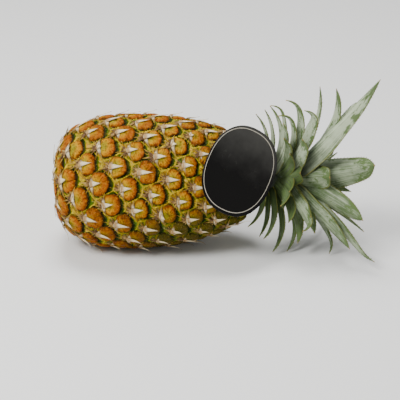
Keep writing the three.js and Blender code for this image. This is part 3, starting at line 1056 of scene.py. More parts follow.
@dataclass
class Rind:
    """The fruit's skin of eyes, and the papery bract on the stalk side of each eye."""

    barrel: Barrel = field(default_factory=Barrel)
    spiral: Spiral = field(default_factory=Spiral)
    rows: int = 248
    columns: int = 390
    disc_middle: float = 0.6
    disc_stalkward: float = 6.4
    disc_crownward: float = 7.3
    disc_round: float = 10.3
    disc_spread: float = 0.24
    disc_edge: float = -1.7
    disc_rise: float = 2.2
    cleft: float = 0.5
    wrinkles: float = 0.26
    crumple: float = 0.3
    ground: float = -2.1
    moat: float = 2.0
    moat_at: float = 1.1
    moat_wide: float = 0.08
    seam: float = 1.0
    seam_wide: float = 1.3
    arm_rise: float = 0.8
    heart: float = -2.5
    knot: float = 6.4
    knot_rise: float = 1.2
    fan_centre: float = 11
    worn_from: float = 0.9
    curled_below: float = 34
    bare_inside: float = 24
    bare_below: float = 3
    least_size: float = 0.35
    size_spread: float = 0.12
    seed: int = 12
    strand_steps: int = 8
    strand_thick: float = 0.32
    strand_arch: float = 0.22
    strand_least: float = 0.1
    strand_length: tuple[float, float] = (0.66, 1.16)
    strand_turn: float = 26
    tip_lift: tuple[float, float] = (0.8, 4.4)
    tip_sway: float = 2.2
    arm_bend: float = 2.4
    tip_back: float = 1.2
    worn_tip: float = 0.4
    curl_lift: float = 4.6
    curl_back: float = 3.0

    def eye_frames(self, station: np.ndarray,
                   azimuth: np.ndarray) -> tuple[np.ndarray, np.ndarray, np.ndarray]:
        """Centre, outward and crownward directions of places on the skin.

        Args:
            station: Distances along the axis from the stalk end.
            azimuth: Angles from the front, upwards, in radians.

        Returns:
            The three, one row a place.
        """
        centre = self.barrel.skin(station, azimuth, 0.0)
        outward = unit(self.barrel.skin(station, azimuth, 1.0) - centre)
        around = unit(np.cross(outward, self.barrel.axis))
        return centre, outward, np.cross(around, outward)

    def sphere(self, rise: np.ndarray, azimuth: np.ndarray) -> np.ndarray:
        """Lays places on the skin on a unit sphere so that angles are kept."""
        ring = 1 / np.cosh(rise)
        return np.stack([np.tanh(rise), ring * np.cos(azimuth), ring * np.sin(azimuth)], -1)

    def find_spots(self, station: np.ndarray, azimuth: np.ndarray) -> EyeSpots:
        """Finds the eye and the fan that each point of the skin lies in.

        Args:
            station: Stations of the points.
            azimuth: Their azimuths.

        Returns:
            Their places in both.
        """
        table = self.barrel.measure()
        eye_station, eye_azimuth, eye_size = self.spiral.places(table)
        rise = np.interp(station, table["station"], table["rise"])
        spots = self.sphere(rise, azimuth)
        eye_rise = np.interp(eye_station, table["station"], table["rise"])
        near = spots @ self.sphere(eye_rise, eye_azimuth).T
        best = np.sort(np.partition(near, -2, axis=1)[:, -2:], axis=1)
        owner = np.argmax(near, axis=1)
        angles = np.arccos(np.clip(best, -1, 1))
        edge = 0.5 * (angles[:, 0] - angles[:, 1]) * self.barrel.radius_at(station) * np.cosh(rise)
        fan_arc = np.interp(eye_station, table["station"], table["arc"]) - self.fan_centre * eye_size
        fan_rise = np.interp(fan_arc, table["arc"], table["rise"])
        fan_owner = np.argmax(spots @ self.sphere(fan_rise, eye_azimuth).T, axis=1)
        centre, outward, along = self.eye_frames(eye_station, eye_azimuth)
        axes = (along, np.cross(outward, along))
        skin = self.barrel.skin(station, azimuth, 0.0)
        knots = centre - self.knot * eye_size[:, None] * along
        in_eye = self.local_place(skin - centre[owner], owner, axes, eye_size)
        in_fan = self.local_place(skin - knots[fan_owner], fan_owner, axes, eye_size)
        return EyeSpots(owner, *in_eye, edge, fan_owner, *in_fan)

    @staticmethod
    def local_place(arms: np.ndarray, owner: np.ndarray, axes: tuple[np.ndarray, np.ndarray],
                    sizes: np.ndarray) -> list[np.ndarray]:
        """Distances along and round an eye, in the millimetres of a full-sized eye."""
        return [np.einsum("ij,ij->i", arms, axis[owner]) / sizes[owner] for axis in axes]

    def reach(self, spots: EyeSpots) -> np.ndarray:
        """Distance from the disc's middle, 1 at its rim: straight to the stalk, round to the crown.

        Args:
            spots: The points' places in their eyes.

        Returns:
            The distances.
        """
        along = spots.u - self.disc_middle
        stalkward = along < 0
        length = 1 + self.disc_spread * (draw(spots.owner, 9) - 0.5)
        half = np.where(stalkward, self.disc_stalkward, self.disc_crownward * length)
        power = np.where(stalkward, 3.6, 2.3)
        swell = 1 + 0.14 * (spots.chance - 0.5) + 0.035 * np.cos(3 * spots.turn + 9 * spots.chance)
        swell += 0.03 * np.cos(5 * spots.turn + 31 * spots.chance)
        total = np.abs(along / half) ** power + np.abs(spots.v / self.disc_round) ** power
        return total ** (1 / power) / swell

    def arms(self, spots: EyeSpots) -> np.ndarray:
        """How far a point lies on the pale ridges that run from the knot round the disc."""
        ridge = np.exp(-((self.reach(spots) - 1.12) / 0.1) ** 2)
        return ridge * smooth(-spots.u, 0.5, 4.5) * smooth(np.abs(spots.v), 12, 9)

    def creases(self, spots: EyeSpots) -> np.ndarray:
        """Small dents that make every disc uneven in its own way, from -1 to 1.

        Args:
            spots: The points' places in their eyes.

        Returns:
            The dents.
        """
        phase = 40 * spots.chance
        broad = np.sin(1.9 * spots.u + 0.7 * spots.v + phase)
        broad = broad * np.sin(1.5 * spots.v - 0.9 * spots.u + 2 * phase)
        return (broad + 0.6 * np.sin(2.9 * spots.v + 1.1 * spots.u + 3 * phase)) / 1.6

    def relief(self, spots: EyeSpots) -> np.ndarray:
        """Height of the skin over the barrel in millimetres.

        Args:
            spots: The points' places in their eyes.

        Returns:
            The heights.
        """
        reach = self.reach(spots)
        dome = self.disc_edge + self.disc_rise * np.sqrt(np.clip(1 - reach ** 2.6, 0, 1))
        dome -= self.cleft * np.exp(-(spots.v / 1.2) ** 2) * smooth(spots.u, -6, 2)
        pleats = np.sin(9 * spots.turn + 20 * spots.chance) + np.sin(14 * spots.turn + 47 * spots.chance)
        dome += 0.7 * self.wrinkles * smooth(reach, 0.3, 0.8) * pleats
        dome += self.crumple * self.creases(spots)
        moat = self.moat * np.exp(-((reach - self.moat_at) / self.moat_wide) ** 2)
        flat = self.ground + self.seam * (1 - smooth(spots.edge, 0, self.seam_wide))
        flat -= moat * (0.2 + 0.8 * smooth(spots.u, -3, 4))
        flat += self.arm_rise * self.arms(spots)
        flat += self.knot_rise * smooth(spots.fan_reach, 5.0, 0.5)
        flat += 0.45 * spots.fan * np.sin(19 * spots.fan_turn + 11 * draw(spots.fan_owner, 6))
        share = smooth(reach, 0.99, 1.08)
        return dome * (1 - share) + flat * share + 0.9 * (spots.chance - 0.5)

    def greenness(self, station: np.ndarray, azimuth: np.ndarray, chance: np.ndarray) -> np.ndarray:
        """Share of green: most at the crown end and on the underside near it.

        Args:
            station: Distances along the axis from the stalk end.
            azimuth: Angles from the front, upwards, in radians.
            chance: A number between 0 and 1 for each eye.

        Returns:
            The shares.
        """
        crownward = smooth(station, 110, 190)
        under = smooth(-np.sin(azimuth), -0.1, 0.55) * smooth(station, 40, 120)
        return np.clip(0.55 * crownward + 0.95 * under + 0.5 * (chance - 0.5), 0, 1)

    def looks(self, spots: EyeSpots, station: np.ndarray, azimuth: np.ndarray) -> dict[str, np.ndarray]:
        """Attributes from which the finish draws the eyes.

        Args:
            spots: The points' places in their eyes.
            station: Their stations.
            azimuth: Their azimuths.

        Returns:
            Rows of three numbers a point, by attribute name.
        """
        reach = self.reach(spots)
        pit = smooth(reach, 1.75, 1.1) * smooth(spots.u, 0, 5)
        ends = smooth(np.abs(spots.v), 10, 11.5) * smooth(reach, 1.2, 1.08) * smooth(spots.u, -6, -2)
        green = self.greenness(station, azimuth, spots.chance)
        fan_chance = draw(spots.fan_owner, 6)
        heart = np.hypot(spots.u - self.heart, 0.75 * spots.v) / self.disc_round
        return {
            "eye_place": np.stack([reach, spots.edge, np.maximum(pit, 0.8 * ends)], 1),
            "eye_look": np.stack([spots.chance, green, self.arms(spots)], 1),
            "fan_look": np.stack([spots.fan, smooth(spots.fan_reach, 3.5, 1), heart], 1),
            "fan_ray": np.stack([5 * np.cos(spots.fan_turn) + 40 * fan_chance,
                                 5 * np.sin(spots.fan_turn), 0.09 * spots.fan_reach], 1),
            "disc_ray": np.stack([2.6 * np.cos(spots.turn) + 30 * spots.chance,
                                  2.6 * np.sin(spots.turn), 0.9 * reach], 1),
        }

    def make_skin(self, material: bpy.types.Material) -> bpy.types.Object:
        """Builds the skin as a fine closed mesh that carries each point's place in its eye.

        Args:
            material: Its finish.

        Returns:
            The skin.
        """
        table = self.barrel.measure()
        arc = np.linspace(0, table["arc"][-1], self.rows + 2)[1:-1]
        station = np.repeat(np.interp(arc, table["arc"], table["station"]), self.columns)
        azimuth = np.tile(np.arange(self.columns) * 2 * math.pi / self.columns, self.rows)
        spots = self.find_spots(station, azimuth)
        points = self.barrel.skin(station, azimuth, self.relief(spots) * self.barrel.fade(station))
        stalk = Stalk()
        sunk = (station < self.barrel.widest) & (self.barrel.radius_at(station) < stalk.socket_radius)
        points[sunk] += stalk.socket_depth * self.barrel.axis
        ends = self.barrel.place(np.array([stalk.socket_depth, self.barrel.length]), 0.0, 0.0)
        points = np.concatenate([points, ends])
        points[:, 2] = np.maximum(points[:, 2], 0)
        rows = {name: np.concatenate([row, np.zeros((2, 3))])
                for name, row in self.looks(spots, station, azimuth).items()}
        return add_piece("rind", points, self.grid_faces(), material, rows)

    def grid_faces(self) -> list[list[int]]:
        """Faces of the skin's grid, closed by a fan at each end.

        Returns:
            The faces, as lists of point numbers.
        """
        count = self.rows * self.columns
        row, column = np.divmod(np.arange(count - self.columns), self.columns)
        ahead = row * self.columns + (column + 1) % self.columns
        here = row * self.columns + column
        quads = np.stack([here, here + self.columns, ahead + self.columns, ahead], 1).tolist()
        ring = np.arange(self.columns)
        after = (ring + 1) % self.columns
        last = count - self.columns
        start = [[count, int(a), int(b)] for a, b in zip(ring, after)]
        end = [[count + 1, int(last + b), int(last + a)] for a, b in zip(ring, after)]
        return quads + start + end

    def strand_line(self, strand: Strand, share: np.ndarray, number: int) -> np.ndarray:
        """Middle line of a strand, with the height of its ridge.

        Args:
            strand: The strand.
            share: Shares of its length.
            number: The variant's number, for its own lengths, turns and lifts.

        Returns:
            Points along the strand, one a row.
        """
        salt = 50 + strand.angle
        length = strand.length * between(*self.strand_length, float(draw(number, salt)))
        turn = math.radians(strand.angle + self.strand_turn * (float(draw(number, salt + 1)) - 0.5))
        x = -self.knot + length * share * math.cos(turn)
        y = length * share * math.sin(turn)
        z = 0.9 - 2.5 * share ** 0.7
        if strand.kind is StrandKind.ARM:
            x = x + self.arm_bend * share ** 2
            z = 1.1 - 2.3 * share
        if strand.kind is StrandKind.TIP:
            form = BRACT_FORMS[number]
            lift = between(*self.tip_lift, float(draw(number, salt + 2)))
            if form is BractForm.WORN:
                x = x * self.worn_tip - self.knot * (1 - self.worn_tip)
            if form is BractForm.CURLED:
                lift = self.curl_lift
                x = x - self.curl_back * share ** 3
            x = x - self.tip_back
            y = y + self.tip_sway * (float(draw(number, salt + 3)) - 0.5) * share ** 2
            z = 1.3 + 0.5 * smooth(share, 0, 0.3) + lift * share ** 2
        fall = y ** 2 / (2 * self.barrel.radius) + x ** 2 / (4 * self.barrel.radius)
        return np.stack([x, y, z - fall], 1)

    def bract_variant(self, number: int, material: bpy.types.Material) -> bpy.types.Object:
        """Builds one ragged star of strands on the skin at the origin.

        Args:
            number: Which variant.
            material: Its finish.

        Returns:
            The star, its tip towards +X and +Z outwards.
        """
        share = np.linspace(0, 1, self.strand_steps)
        points, places, faces = [], [], []
        base = 0
        for strand in BRACT_STAR:
            line = self.strand_line(strand, share, number)
            ahead = unit(np.gradient(line, axis=0) * np.array([1, 1, 0]))
            aside = np.stack([-ahead[:, 1], ahead[:, 0], np.zeros(len(share))], 1)
            taper = (1 - share) ** (1.25 if strand.kind is StrandKind.TIP else 0.75)
            half = np.maximum(strand.half_width * taper, self.strand_least)
            kind = np.full_like(share, strand.kind.value)
            ring, marks = [], []
            for side, drop in STRAND_SECTION:
                down = drop * self.strand_thick + self.strand_arch * half * abs(side)
                sunk = np.stack([0 * down, 0 * down, down], 1)
                ring.append(line + aside * (side * half)[:, None] - sunk)
                marks.append(np.stack([share, np.full_like(share, side), kind], 1))
            points.append(np.stack(ring, 1).reshape(-1, 3))
            places.append(np.stack(marks, 1).reshape(-1, 3))
            faces += tube_faces(base, len(share), len(ring))
            base += len(share) * len(ring)
        rows = {"scale_place": np.concatenate(places)}
        return add_piece(f"bract_variant_{number}", np.concatenate(points), faces, material, rows)

    def make_bracts(self, material: bpy.types.Material) -> bpy.types.Object:
        """Sets a papery star on every eye.

        Args:
            material: Its finish.

        Returns:
            The bracts, in one piece.
        """
        station, azimuth, size = self.spiral.places(self.barrel.measure())
        centre, outward, along = self.eye_frames(station, azimuth)
        clear = (self.barrel.radius_at(station) > self.bare_inside) & (centre[:, 2] > self.bare_below)
        rows = (station, size, centre, outward, along, self.spiral.numbers())
        station, size, centre, outward, along, numbers = (row[clear] for row in rows)
        sizes = size * (self.least_size + (1 - self.least_size) * self.barrel.fade(station))
        chance = draw(numbers, 8)
        picks = numbers % BRACT_FORMS.count(BractForm.PLAIN)
        picks[chance > self.worn_from] = BRACT_FORMS.index(BractForm.WORN)
        curled = (centre[:, 2] < self.curled_below) & (centre[:, 1] < self.barrel.origin()[1])
        curls = (chance * BRACT_FORMS.count(BractForm.CURLED)).astype(int)
        picks[curled] = BRACT_FORMS.index(BractForm.CURLED) + curls[curled]
        variants = [self.bract_variant(number, material) for number in range(len(BRACT_FORMS))]
        scatter = Scatter(Growth.BRACTS, centre, outward, along, sizes, picks,
                          self.size_spread, self.seed)
        piece = scatter.grow(variants, material)
        keep_inside(piece, "fruit")
        return piece

    def build(self) -> None:
        """Builds the skin and the bracts in place of the fruit's solid."""
        skin = self.make_skin(RindFinish().make())
        bracts = self.make_bracts(BractFinish().make())
        for piece in (skin, bracts):
            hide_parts("fruit")
            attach(piece, BODY)
        log.info("rind: %d faces, bracts: %d faces", len(skin.data.polygons), len(bracts.data.polygons))


# The cut stalk

@dataclass(frozen=True)
class Stalk:
    """The cut end of the stalk in its socket, in millimetres."""

    radius: float = 13
    length: float = 7
    sunk: float = 6.5
    chamfer: float = 1
    worn: float = 0.3
    rough: float = 0.25
    gap: float = 0.35
    sides: int = 96
    rings: int = 14

    @property
    def face_station(self) -> float:
        """Station of the cut face."""
        return self.sunk - self.length

    @property
    def face_radius(self) -> float:
        """Radius of the cut face inside its worn edge."""
        return self.radius - self.chamfer

    @property
    def socket_radius(self) -> float:
        """Radius of the socket in the fruit."""
        return self.radius + self.gap

    @property
    def socket_depth(self) -> float:
        """Depth of the socket in the fruit."""
        return self.sunk + self.gap

    def build(self) -> None:
        """Builds the cut end with a slightly rough face."""
        barrel = Barrel()
        start = self.face_station
        outline = [(self.face_radius * ring / self.rings, start) for ring in range(1, self.rings + 1)]
        outline += [(self.radius - self.worn, start + self.worn), (self.radius, start + self.chamfer)]
        outline += [(self.radius, self.sunk), (self.face_radius, self.sunk)]
        azimuth = np.arange(self.sides) * 2 * math.pi / self.sides
        points = [barrel.place(start, 0.0, 0.0)[None]]
        for number, (out, station) in enumerate(outline):
            rough = self.rough * draw(np.arange(self.sides) + 97 * number, 21) * (number < self.rings - 1)
            points.append(barrel.place(station + rough, out, azimuth))
        points.append(barrel.place(self.sunk, 0.0, 0.0)[None])
        points = np.concatenate(points)
        faces = drum_faces(len(outline), self.sides)
        piece = add_piece("stalk_end", points, faces, StalkFinish().make())
        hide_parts("stalk")
        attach(piece, BODY)
        log.info("stalk: %d faces", len(faces))


# The crown

@dataclass(frozen=True)
class Leaf:
    """One blade of the crown: where it stands, where its tip lies and how it is cut."""

    azimuth: float
    root: float
    along: float
    out: float
    turn: float
    width: float
    point: float = 0.7
    hook: float = 0.0
    twist: float = 0.0


# Azimuth, root station, tip station, tip distance, turn, width, bluntness and hook, in mm and degrees
SHOWN_LEAVES = [
    Leaf(66, 212, 299, 121, 12, 32, 0.74),
    Leaf(80, 214, 285, 86, 10, 25, 0.45, -50),
    Leaf(78, 208, 261, 95, 62, 18, 0.5),
    Leaf(100, 206, 247, 85, 50, 12, 0.65),
    Leaf(72, 204, 243, 80, 18, 20, 0.4, 80),
    Leaf(78, 200, 222, 88, 60, 19, 0.6, 50),
    Leaf(84, 197, 208, 79, 50, 12, 0.7, 60),
    Leaf(92, 196, 201, 70, 66, 12, 0.7),
    Leaf(104, 193, 196, 64, 50, 9, 0.7),
    Leaf(86, 192, 188, 65, 50, 9, 0.7),
    Leaf(74, 199, 214, 77, 70, 13, 0.5, 70),
    Leaf(64, 197, 213, 72, 40, 11, 0.5),
    Leaf(56, 204, 230, 60, 30, 24, 0.28),
    Leaf(60, 198, 213, 57, 50, 17, 0.35),
    Leaf(35, 222, 295, 43, 22, 34, 0.3),
    Leaf(21, 208, 254, 43, 34, 28, 0.25),
    Leaf(27, 200, 227, 42, 44, 22, 0.28),
    Leaf(-17, 214, 283, 64, 16, 32, 0.5),
    Leaf(-44, 216, 290, 89, 14, 17, 0.75, -25),
    Leaf(-38, 206, 271, 76, 14, 20, 0.55),
    Leaf(-56, 212, 272, 56, 10, 14, 0.6, 50),
    Leaf(-79, 214, 286, 52, 10, 9, 0.6),
    Leaf(-24, 201, 236, 69, 30, 24, 0.5, 60),
    Leaf(-20, 205, 236, 54, 22, 16, 0.6),
    Leaf(-70, 206, 259, 70, 34, 15, 0.7, 40),
    Leaf(-72, 199, 214, 68, 78, 13, 0.7),
    Leaf(-66, 195, 201, 68, 64, 14, 0.65),
    Leaf(-12, 197, 209, 46, 64, 24, 0.4),
    Leaf(-48, 194, 193, 59, 58, 14, 0.65),
    Leaf(-60, 191, 189, 54, 44, 12, 0.7),
    Leaf(-34, 190, 179, 53, 50, 13, 0.65),
]

# Small leaves at the crown's foot, beside the card
SHORT_LEAVES = [
    Leaf(-30, 197, 216, 52, 50, 24, 0.45),
    Leaf(4, 198, 217, 42, 55, 24, 0.4),
    Leaf(48, 198, 218, 48, 50, 22, 0.45),
    Leaf(-54, 199, 224, 62, 50, 20, 0.5),
    Leaf(-86, 200, 222, 54, 50, 16, 0.6),
    Leaf(-44, 204, 240, 56, 30, 20, 0.5),
]


@dataclass
class Crown:
    """The crown: leaves chosen one by one on the shown side, by rule on the far side."""

    barrel: Barrel = field(default_factory=Barrel)
    core_start: float = 190
    core_length: float = 42
    core_radius: float = 12.5
    core_tip: float = 3.5
    root_out: float = 4
    root_width: float = 0.45
    shoulder: float = 0.2
    keel: float = 1.9
    keel_tip: float = 0.9
    edge: float = 0.6
    tip_width: float = 0.5
    tip_share: float = 0.13
    hook_from: float = 0.8
    # Painted shade for leaves on the under side, in front and beside the card, partly also less bloom
    shade: float = 0.62
    front_painted_shade: float = 0.3
    low_painted_shade: float = 0.7
    vein_share: float = 0.18
    channel: float = 0.34
    channel_deepest: float = 8
    lift: float = 0.4
    front: float = 21
    twist: float = 50
    narrow: float = 20
    fuller: float = 1.2
    stations: int = 30
    across: int = 13
    rule_count: int = 54
    rule_start: float = 14
    rule_lean: tuple[float, float] = (82, 18)
    rule_length: tuple[float, float] = (54, 50)
    rule_root: tuple[float, float] = (190, 220)
    rule_turn: tuple[float, float] = (54, 8)
    rule_width: tuple[float, float] = (12, 16)
    lean_spread: float = 8
    length_spread: float = 6
    wider: float = 10
    shown_sector: tuple[float, float] = (-92, 128)
    inner_count: int = 5
    longest_extra: float = 40
    spine_from: float = 0.45
    spine_gap: float = 3.2
    spine_spread: float = 0.25
    seed: int = 11

    def rule_leaves(self) -> list[Leaf]:
        """Leaves that follow the spiral round the rest of the crown.

        Returns:
            The leaves.
        """
        leaves = []
        for index in range(self.rule_count):
            share = index / (self.rule_count - 1)
            azimuth = (self.rule_start - Spiral().golden_angle * index + 180) % 360 - 180
            shown = self.shown_sector[0] < azimuth < self.shown_sector[1]
            if shown and index < self.rule_count - self.inner_count:
                continue
            middle = math.sin(math.pi * share)
            lean = between(*self.rule_lean, share) + self.lean_spread * (float(draw(index, 3)) - 0.5)
            lean = math.radians(lean)
            far_side = max(0.0, -math.cos(math.radians(azimuth - self.front))) ** 2
            length = between(*self.rule_length, share) + self.longest_extra * middle * far_side
            length += self.length_spread * (float(draw(index, 4)) - 0.5)
            root = between(*self.rule_root, share)
            leaves.append(Leaf(azimuth, root, root + length * math.cos(lean),
                               self.root_out + length * math.sin(lean), between(*self.rule_turn, share),
                               between(*self.rule_width, share) + self.wider * middle))
        return leaves

    def leaves(self) -> list[Leaf]:
        """All the leaves, the shown ones with their twist.

        Returns:
            The leaves.
        """
        shown = []
        for leaf in SHOWN_LEAVES + SHORT_LEAVES:
            twist = self.twist * math.sin(math.radians(leaf.azimuth - self.front))
            fuller = self.fuller if leaf.width <= self.narrow else 1
            shown.append(replace(leaf, width=leaf.width * fuller, twist=twist))
        return shown + self.rule_leaves()

    def line(self, leaf: Leaf, share: np.ndarray) -> tuple[np.ndarray, np.ndarray, np.ndarray]:
        """Middle line of a leaf.

        Args:
            leaf: The leaf.
            share: Shares of its length.

        Returns:
            Stations, distances out and slopes of the line.
        """
        fine = 60
        turn = math.radians(leaf.turn)
        angle = turn * ((np.arange(fine) + 0.5) / fine) ** 1.5
        x = np.concatenate([[0], np.cumsum(np.cos(angle))])
        y = np.concatenate([[0], np.cumsum(np.sin(angle))])
        chord = (leaf.along - leaf.root, leaf.out - self.root_out)
        scale = math.hypot(*chord) / math.hypot(x[-1], y[-1])
        spin = math.atan2(chord[1], chord[0]) - math.atan2(y[-1], x[-1])
        hook = math.radians(leaf.hook) * smooth((np.arange(fine) + 0.5) / fine, self.hook_from, 1)
        x += np.concatenate([[0], np.cumsum(np.cos(angle + hook) - np.cos(angle))])
        y += np.concatenate([[0], np.cumsum(np.sin(angle + hook) - np.sin(angle))])
        x, y, bent = (np.interp(share * fine, np.arange(fine + 1), row)
                      for row in (x * scale, y * scale, np.append(hook, hook[-1])))
        return (leaf.root + x * math.cos(spin) - y * math.sin(spin),
                self.root_out + x * math.sin(spin) + y * math.cos(spin),
                spin + turn * share ** 1.5 + bent)

    def leaf_points(self, leaf: Leaf, number: int) -> tuple[np.ndarray, np.ndarray]:
        """Points and places of one blade, ring by ring.

        Args:
            leaf: The leaf.
            number: Its number, for its own waviness.

        Returns:
            Points as stations by ring by three, and their length, width and face.
        """
        share = 1 - (1 - np.linspace(0, 1, self.stations)) ** 1.5
        station, out, slope = self.line(leaf, share)
        azimuth = math.radians(leaf.azimuth)
        zero = self.barrel.place(0.0, 0.0, 0.0)
        around = self.barrel.place(0.0, 1.0, azimuth + math.pi / 2) - zero
        outward = self.barrel.place(-np.sin(slope), np.cos(slope), azimuth) - zero
        twist = np.radians(leaf.twist * share)[:, None]
        away = outward * np.cos(twist) - around * np.sin(twist)
        side_way = around * np.cos(twist) + outward * np.sin(twist)
        centre = self.barrel.place(station, out, azimuth)
        shoulder = self.root_width + (1 - self.root_width) * smooth(share, 0, self.shoulder)
        rest = np.maximum(1 - share, 1e-6)
        blunt = rest ** leaf.point
        pointed = rest / self.tip_share * self.tip_share ** leaf.point
        width = leaf.width * shoulder * (blunt ** -6 + pointed ** -6) ** (-1 / 6)
        half = 0.5 * np.maximum(self.tip_width, width)
        keel = self.keel + (self.keel_tip - self.keel) * share
        depth = np.minimum(2 * half * self.channel, self.channel_deepest)
        sides = np.sin(np.linspace(1, -1, self.across) * math.pi / 2)
        wave = 0.05 * np.sin(share[:, None] * 17 + sides * 2 + 9 * float(draw(number, 31)))
        bend = depth[:, None] * np.abs(sides) ** 1.5 + wave * half[:, None] * np.abs(sides)
        thick = self.edge + (keel[:, None] - self.edge) * (1 - np.abs(sides) ** 1.5)
        lateral = half[:, None] * sides
        outer = centre[:, None] + lateral[..., None] * side_way[:, None] - bend[..., None] * away[:, None]
        inner = outer - thick[..., None] * away[:, None]
        ring = np.concatenate([outer, inner[:, ::-1]], 1)
        ring[..., 2] += np.maximum(0, self.lift - ring[..., 2].min(1))[:, None]
        across = np.concatenate([sides, sides[::-1]])
        face = np.concatenate([np.zeros(self.across), np.ones(self.across)])
        places = np.stack(np.broadcast_arrays(share[:, None], across[None], face[None]), -1)
        return ring, places

    def painted_leaf_shade(self, leaf: Leaf) -> float:
        """Says how much painted shade a leaf has low down, in front and beside the card, partly also less
        bloom.

        Args:
            leaf: The leaf.

        Returns:
            Its painted shade, where 1 is none of the bloom and the darkest green.
        """
        under = self.shade * float(smooth(-leaf.azimuth, -10, 50) * smooth(leaf.root, 213, 199))
        front = self.front_painted_shade * float(smooth(leaf.azimuth, 62, 30))
        beside = self.low_painted_shade * float(smooth(leaf.out, 66, 50) * smooth(leaf.root, 206, 200))
        return max(under, front, beside)

    def make_blades(self, material: bpy.types.Material) -> bpy.types.Object:
        """Builds the core and every blade in one piece.

        Args:
            material: Its finish.

        Returns:
            The blades.
        """
        points, places, looks, faces = [], [], [], []
        base = 0
        for number, leaf in enumerate(self.leaves()):
            ring, place = self.leaf_points(leaf, number)
            rings, count = ring.shape[:2]
            points.append(ring.reshape(-1, 3))
            places.append(place.reshape(-1, 3))
            # The third number is the leaf's painted shade
            look = [float(draw(number, 32)), self.vein_share * leaf.width, self.painted_leaf_shade(leaf)]
            looks.append(np.tile(look, (rings * count, 1)))
            faces += tube_faces(base, rings, count)
            base += rings * count
        core, sides = self.core_rings()
        points.append(core)
        places.append(np.zeros((len(core), 3)))
        looks.append(np.zeros((len(core), 3)))
        faces += tube_faces(base, len(core) // sides, sides)
        rows = {"blade_place": np.concatenate(places), "blade_look": np.concatenate(looks)}
        piece = add_piece("crown_blades", np.concatenate(points), faces, material, rows)
        keep_inside(piece, "crown")
        return piece

    def core_rings(self) -> tuple[np.ndarray, int]:
        """Points of the short core that the leaves stand on, and the count in a ring.

        Returns:
            The points, ring by ring, and how many a ring has.
        """
        sides = 32
        share = np.linspace(0, 1, 8)
        radius = self.core_tip + (self.core_radius - self.core_tip) * np.sqrt(1 - share ** 2)
        azimuth = -np.arange(sides) * 2 * math.pi / sides
        station = self.core_start + self.core_length * share
        rings = self.barrel.place(station[:, None], radius[:, None], azimuth)
        return rings.reshape(-1, 3), sides

    def spine_variant(self, material: bpy.types.Material) -> bpy.types.Object:
        """Builds one small forward-hooked spine at the origin.

        Args:
            material: Its finish.

        Returns:
            The spine, its tip towards +Z and hooked to +X.
        """
        rings = []
        for share in (0.0, 0.4, 0.75, 1.0):
            radius = 0.34 * (1 - share) + 0.05
            for corner in range(5):
                angle = 2 * math.pi * corner / 5
                rings.append((0.9 * share ** 1.6 + radius * math.cos(angle) * 1.6,
                              0.5 * radius * math.sin(angle), 1.1 * share - 0.2))
        # The spines carry half the painted shade
        rows = {"blade_place": np.tile([0.9, 0.97, 0.0], (20, 1)), "blade_look": np.full((20, 3), 0.5)}
        return add_piece("spine_variant", np.array(rings), tube_faces(0, 4, 5), material, rows)

    def make_spines(self, material: bpy.types.Material) -> bpy.types.Object:
        """Sets small spines along the outer stretch of every blade's edges.

        Args:
            material: Its finish.

        Returns:
            The spines, in one piece.
        """
        points, outward, along = [], [], []
        for number, leaf in enumerate(self.leaves()):
            ring, place = self.leaf_points(leaf, number)
            middle = ring[:, self.across // 2]
            for column in (0, self.across - 1):
                edge = ring[:, column]
                steps = np.linalg.norm(np.diff(edge, axis=0), axis=1)
                length = np.concatenate([[0], np.cumsum(steps)])
                share = place[:, column, 0]
                start = np.interp(self.spine_from, share, length)
                for at in np.arange(start, length[-1] * 0.97, self.spine_gap):
                    spot = np.array([np.interp(at, length, edge[:, axis]) for axis in range(3)])
                    inside = np.array([np.interp(at, length, middle[:, axis]) for axis in range(3)])
                    ahead = np.array([np.interp(at + 1, length, edge[:, axis]) for axis in range(3)])
                    points.append(spot)
                    outward.append(spot - inside)
                    along.append(ahead - spot)
        rows = [np.array(row) for row in (points, outward, along)]
        ones = np.ones(len(points))
        scatter = Scatter(Growth.SPINES, rows[0], unit(rows[1]), unit(rows[2]), ones, 0 * ones,
                          self.spine_spread, self.seed)
        piece = scatter.grow([self.spine_variant(material)], material)
        keep_inside(piece, "crown")
        return piece

    def build(self) -> None:
        """Builds the blades and their spines in place of the crown's solid."""
        material = LeafFinish().make()
        blades = self.make_blades(material)
        spines = self.make_spines(material)
        for piece in (blades, spines):
            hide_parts("crown")
            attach(piece, BODY)
        log.info("blades: %d faces, spines: %d faces", len(blades.data.polygons), len(spines.data.polygons))


# The card

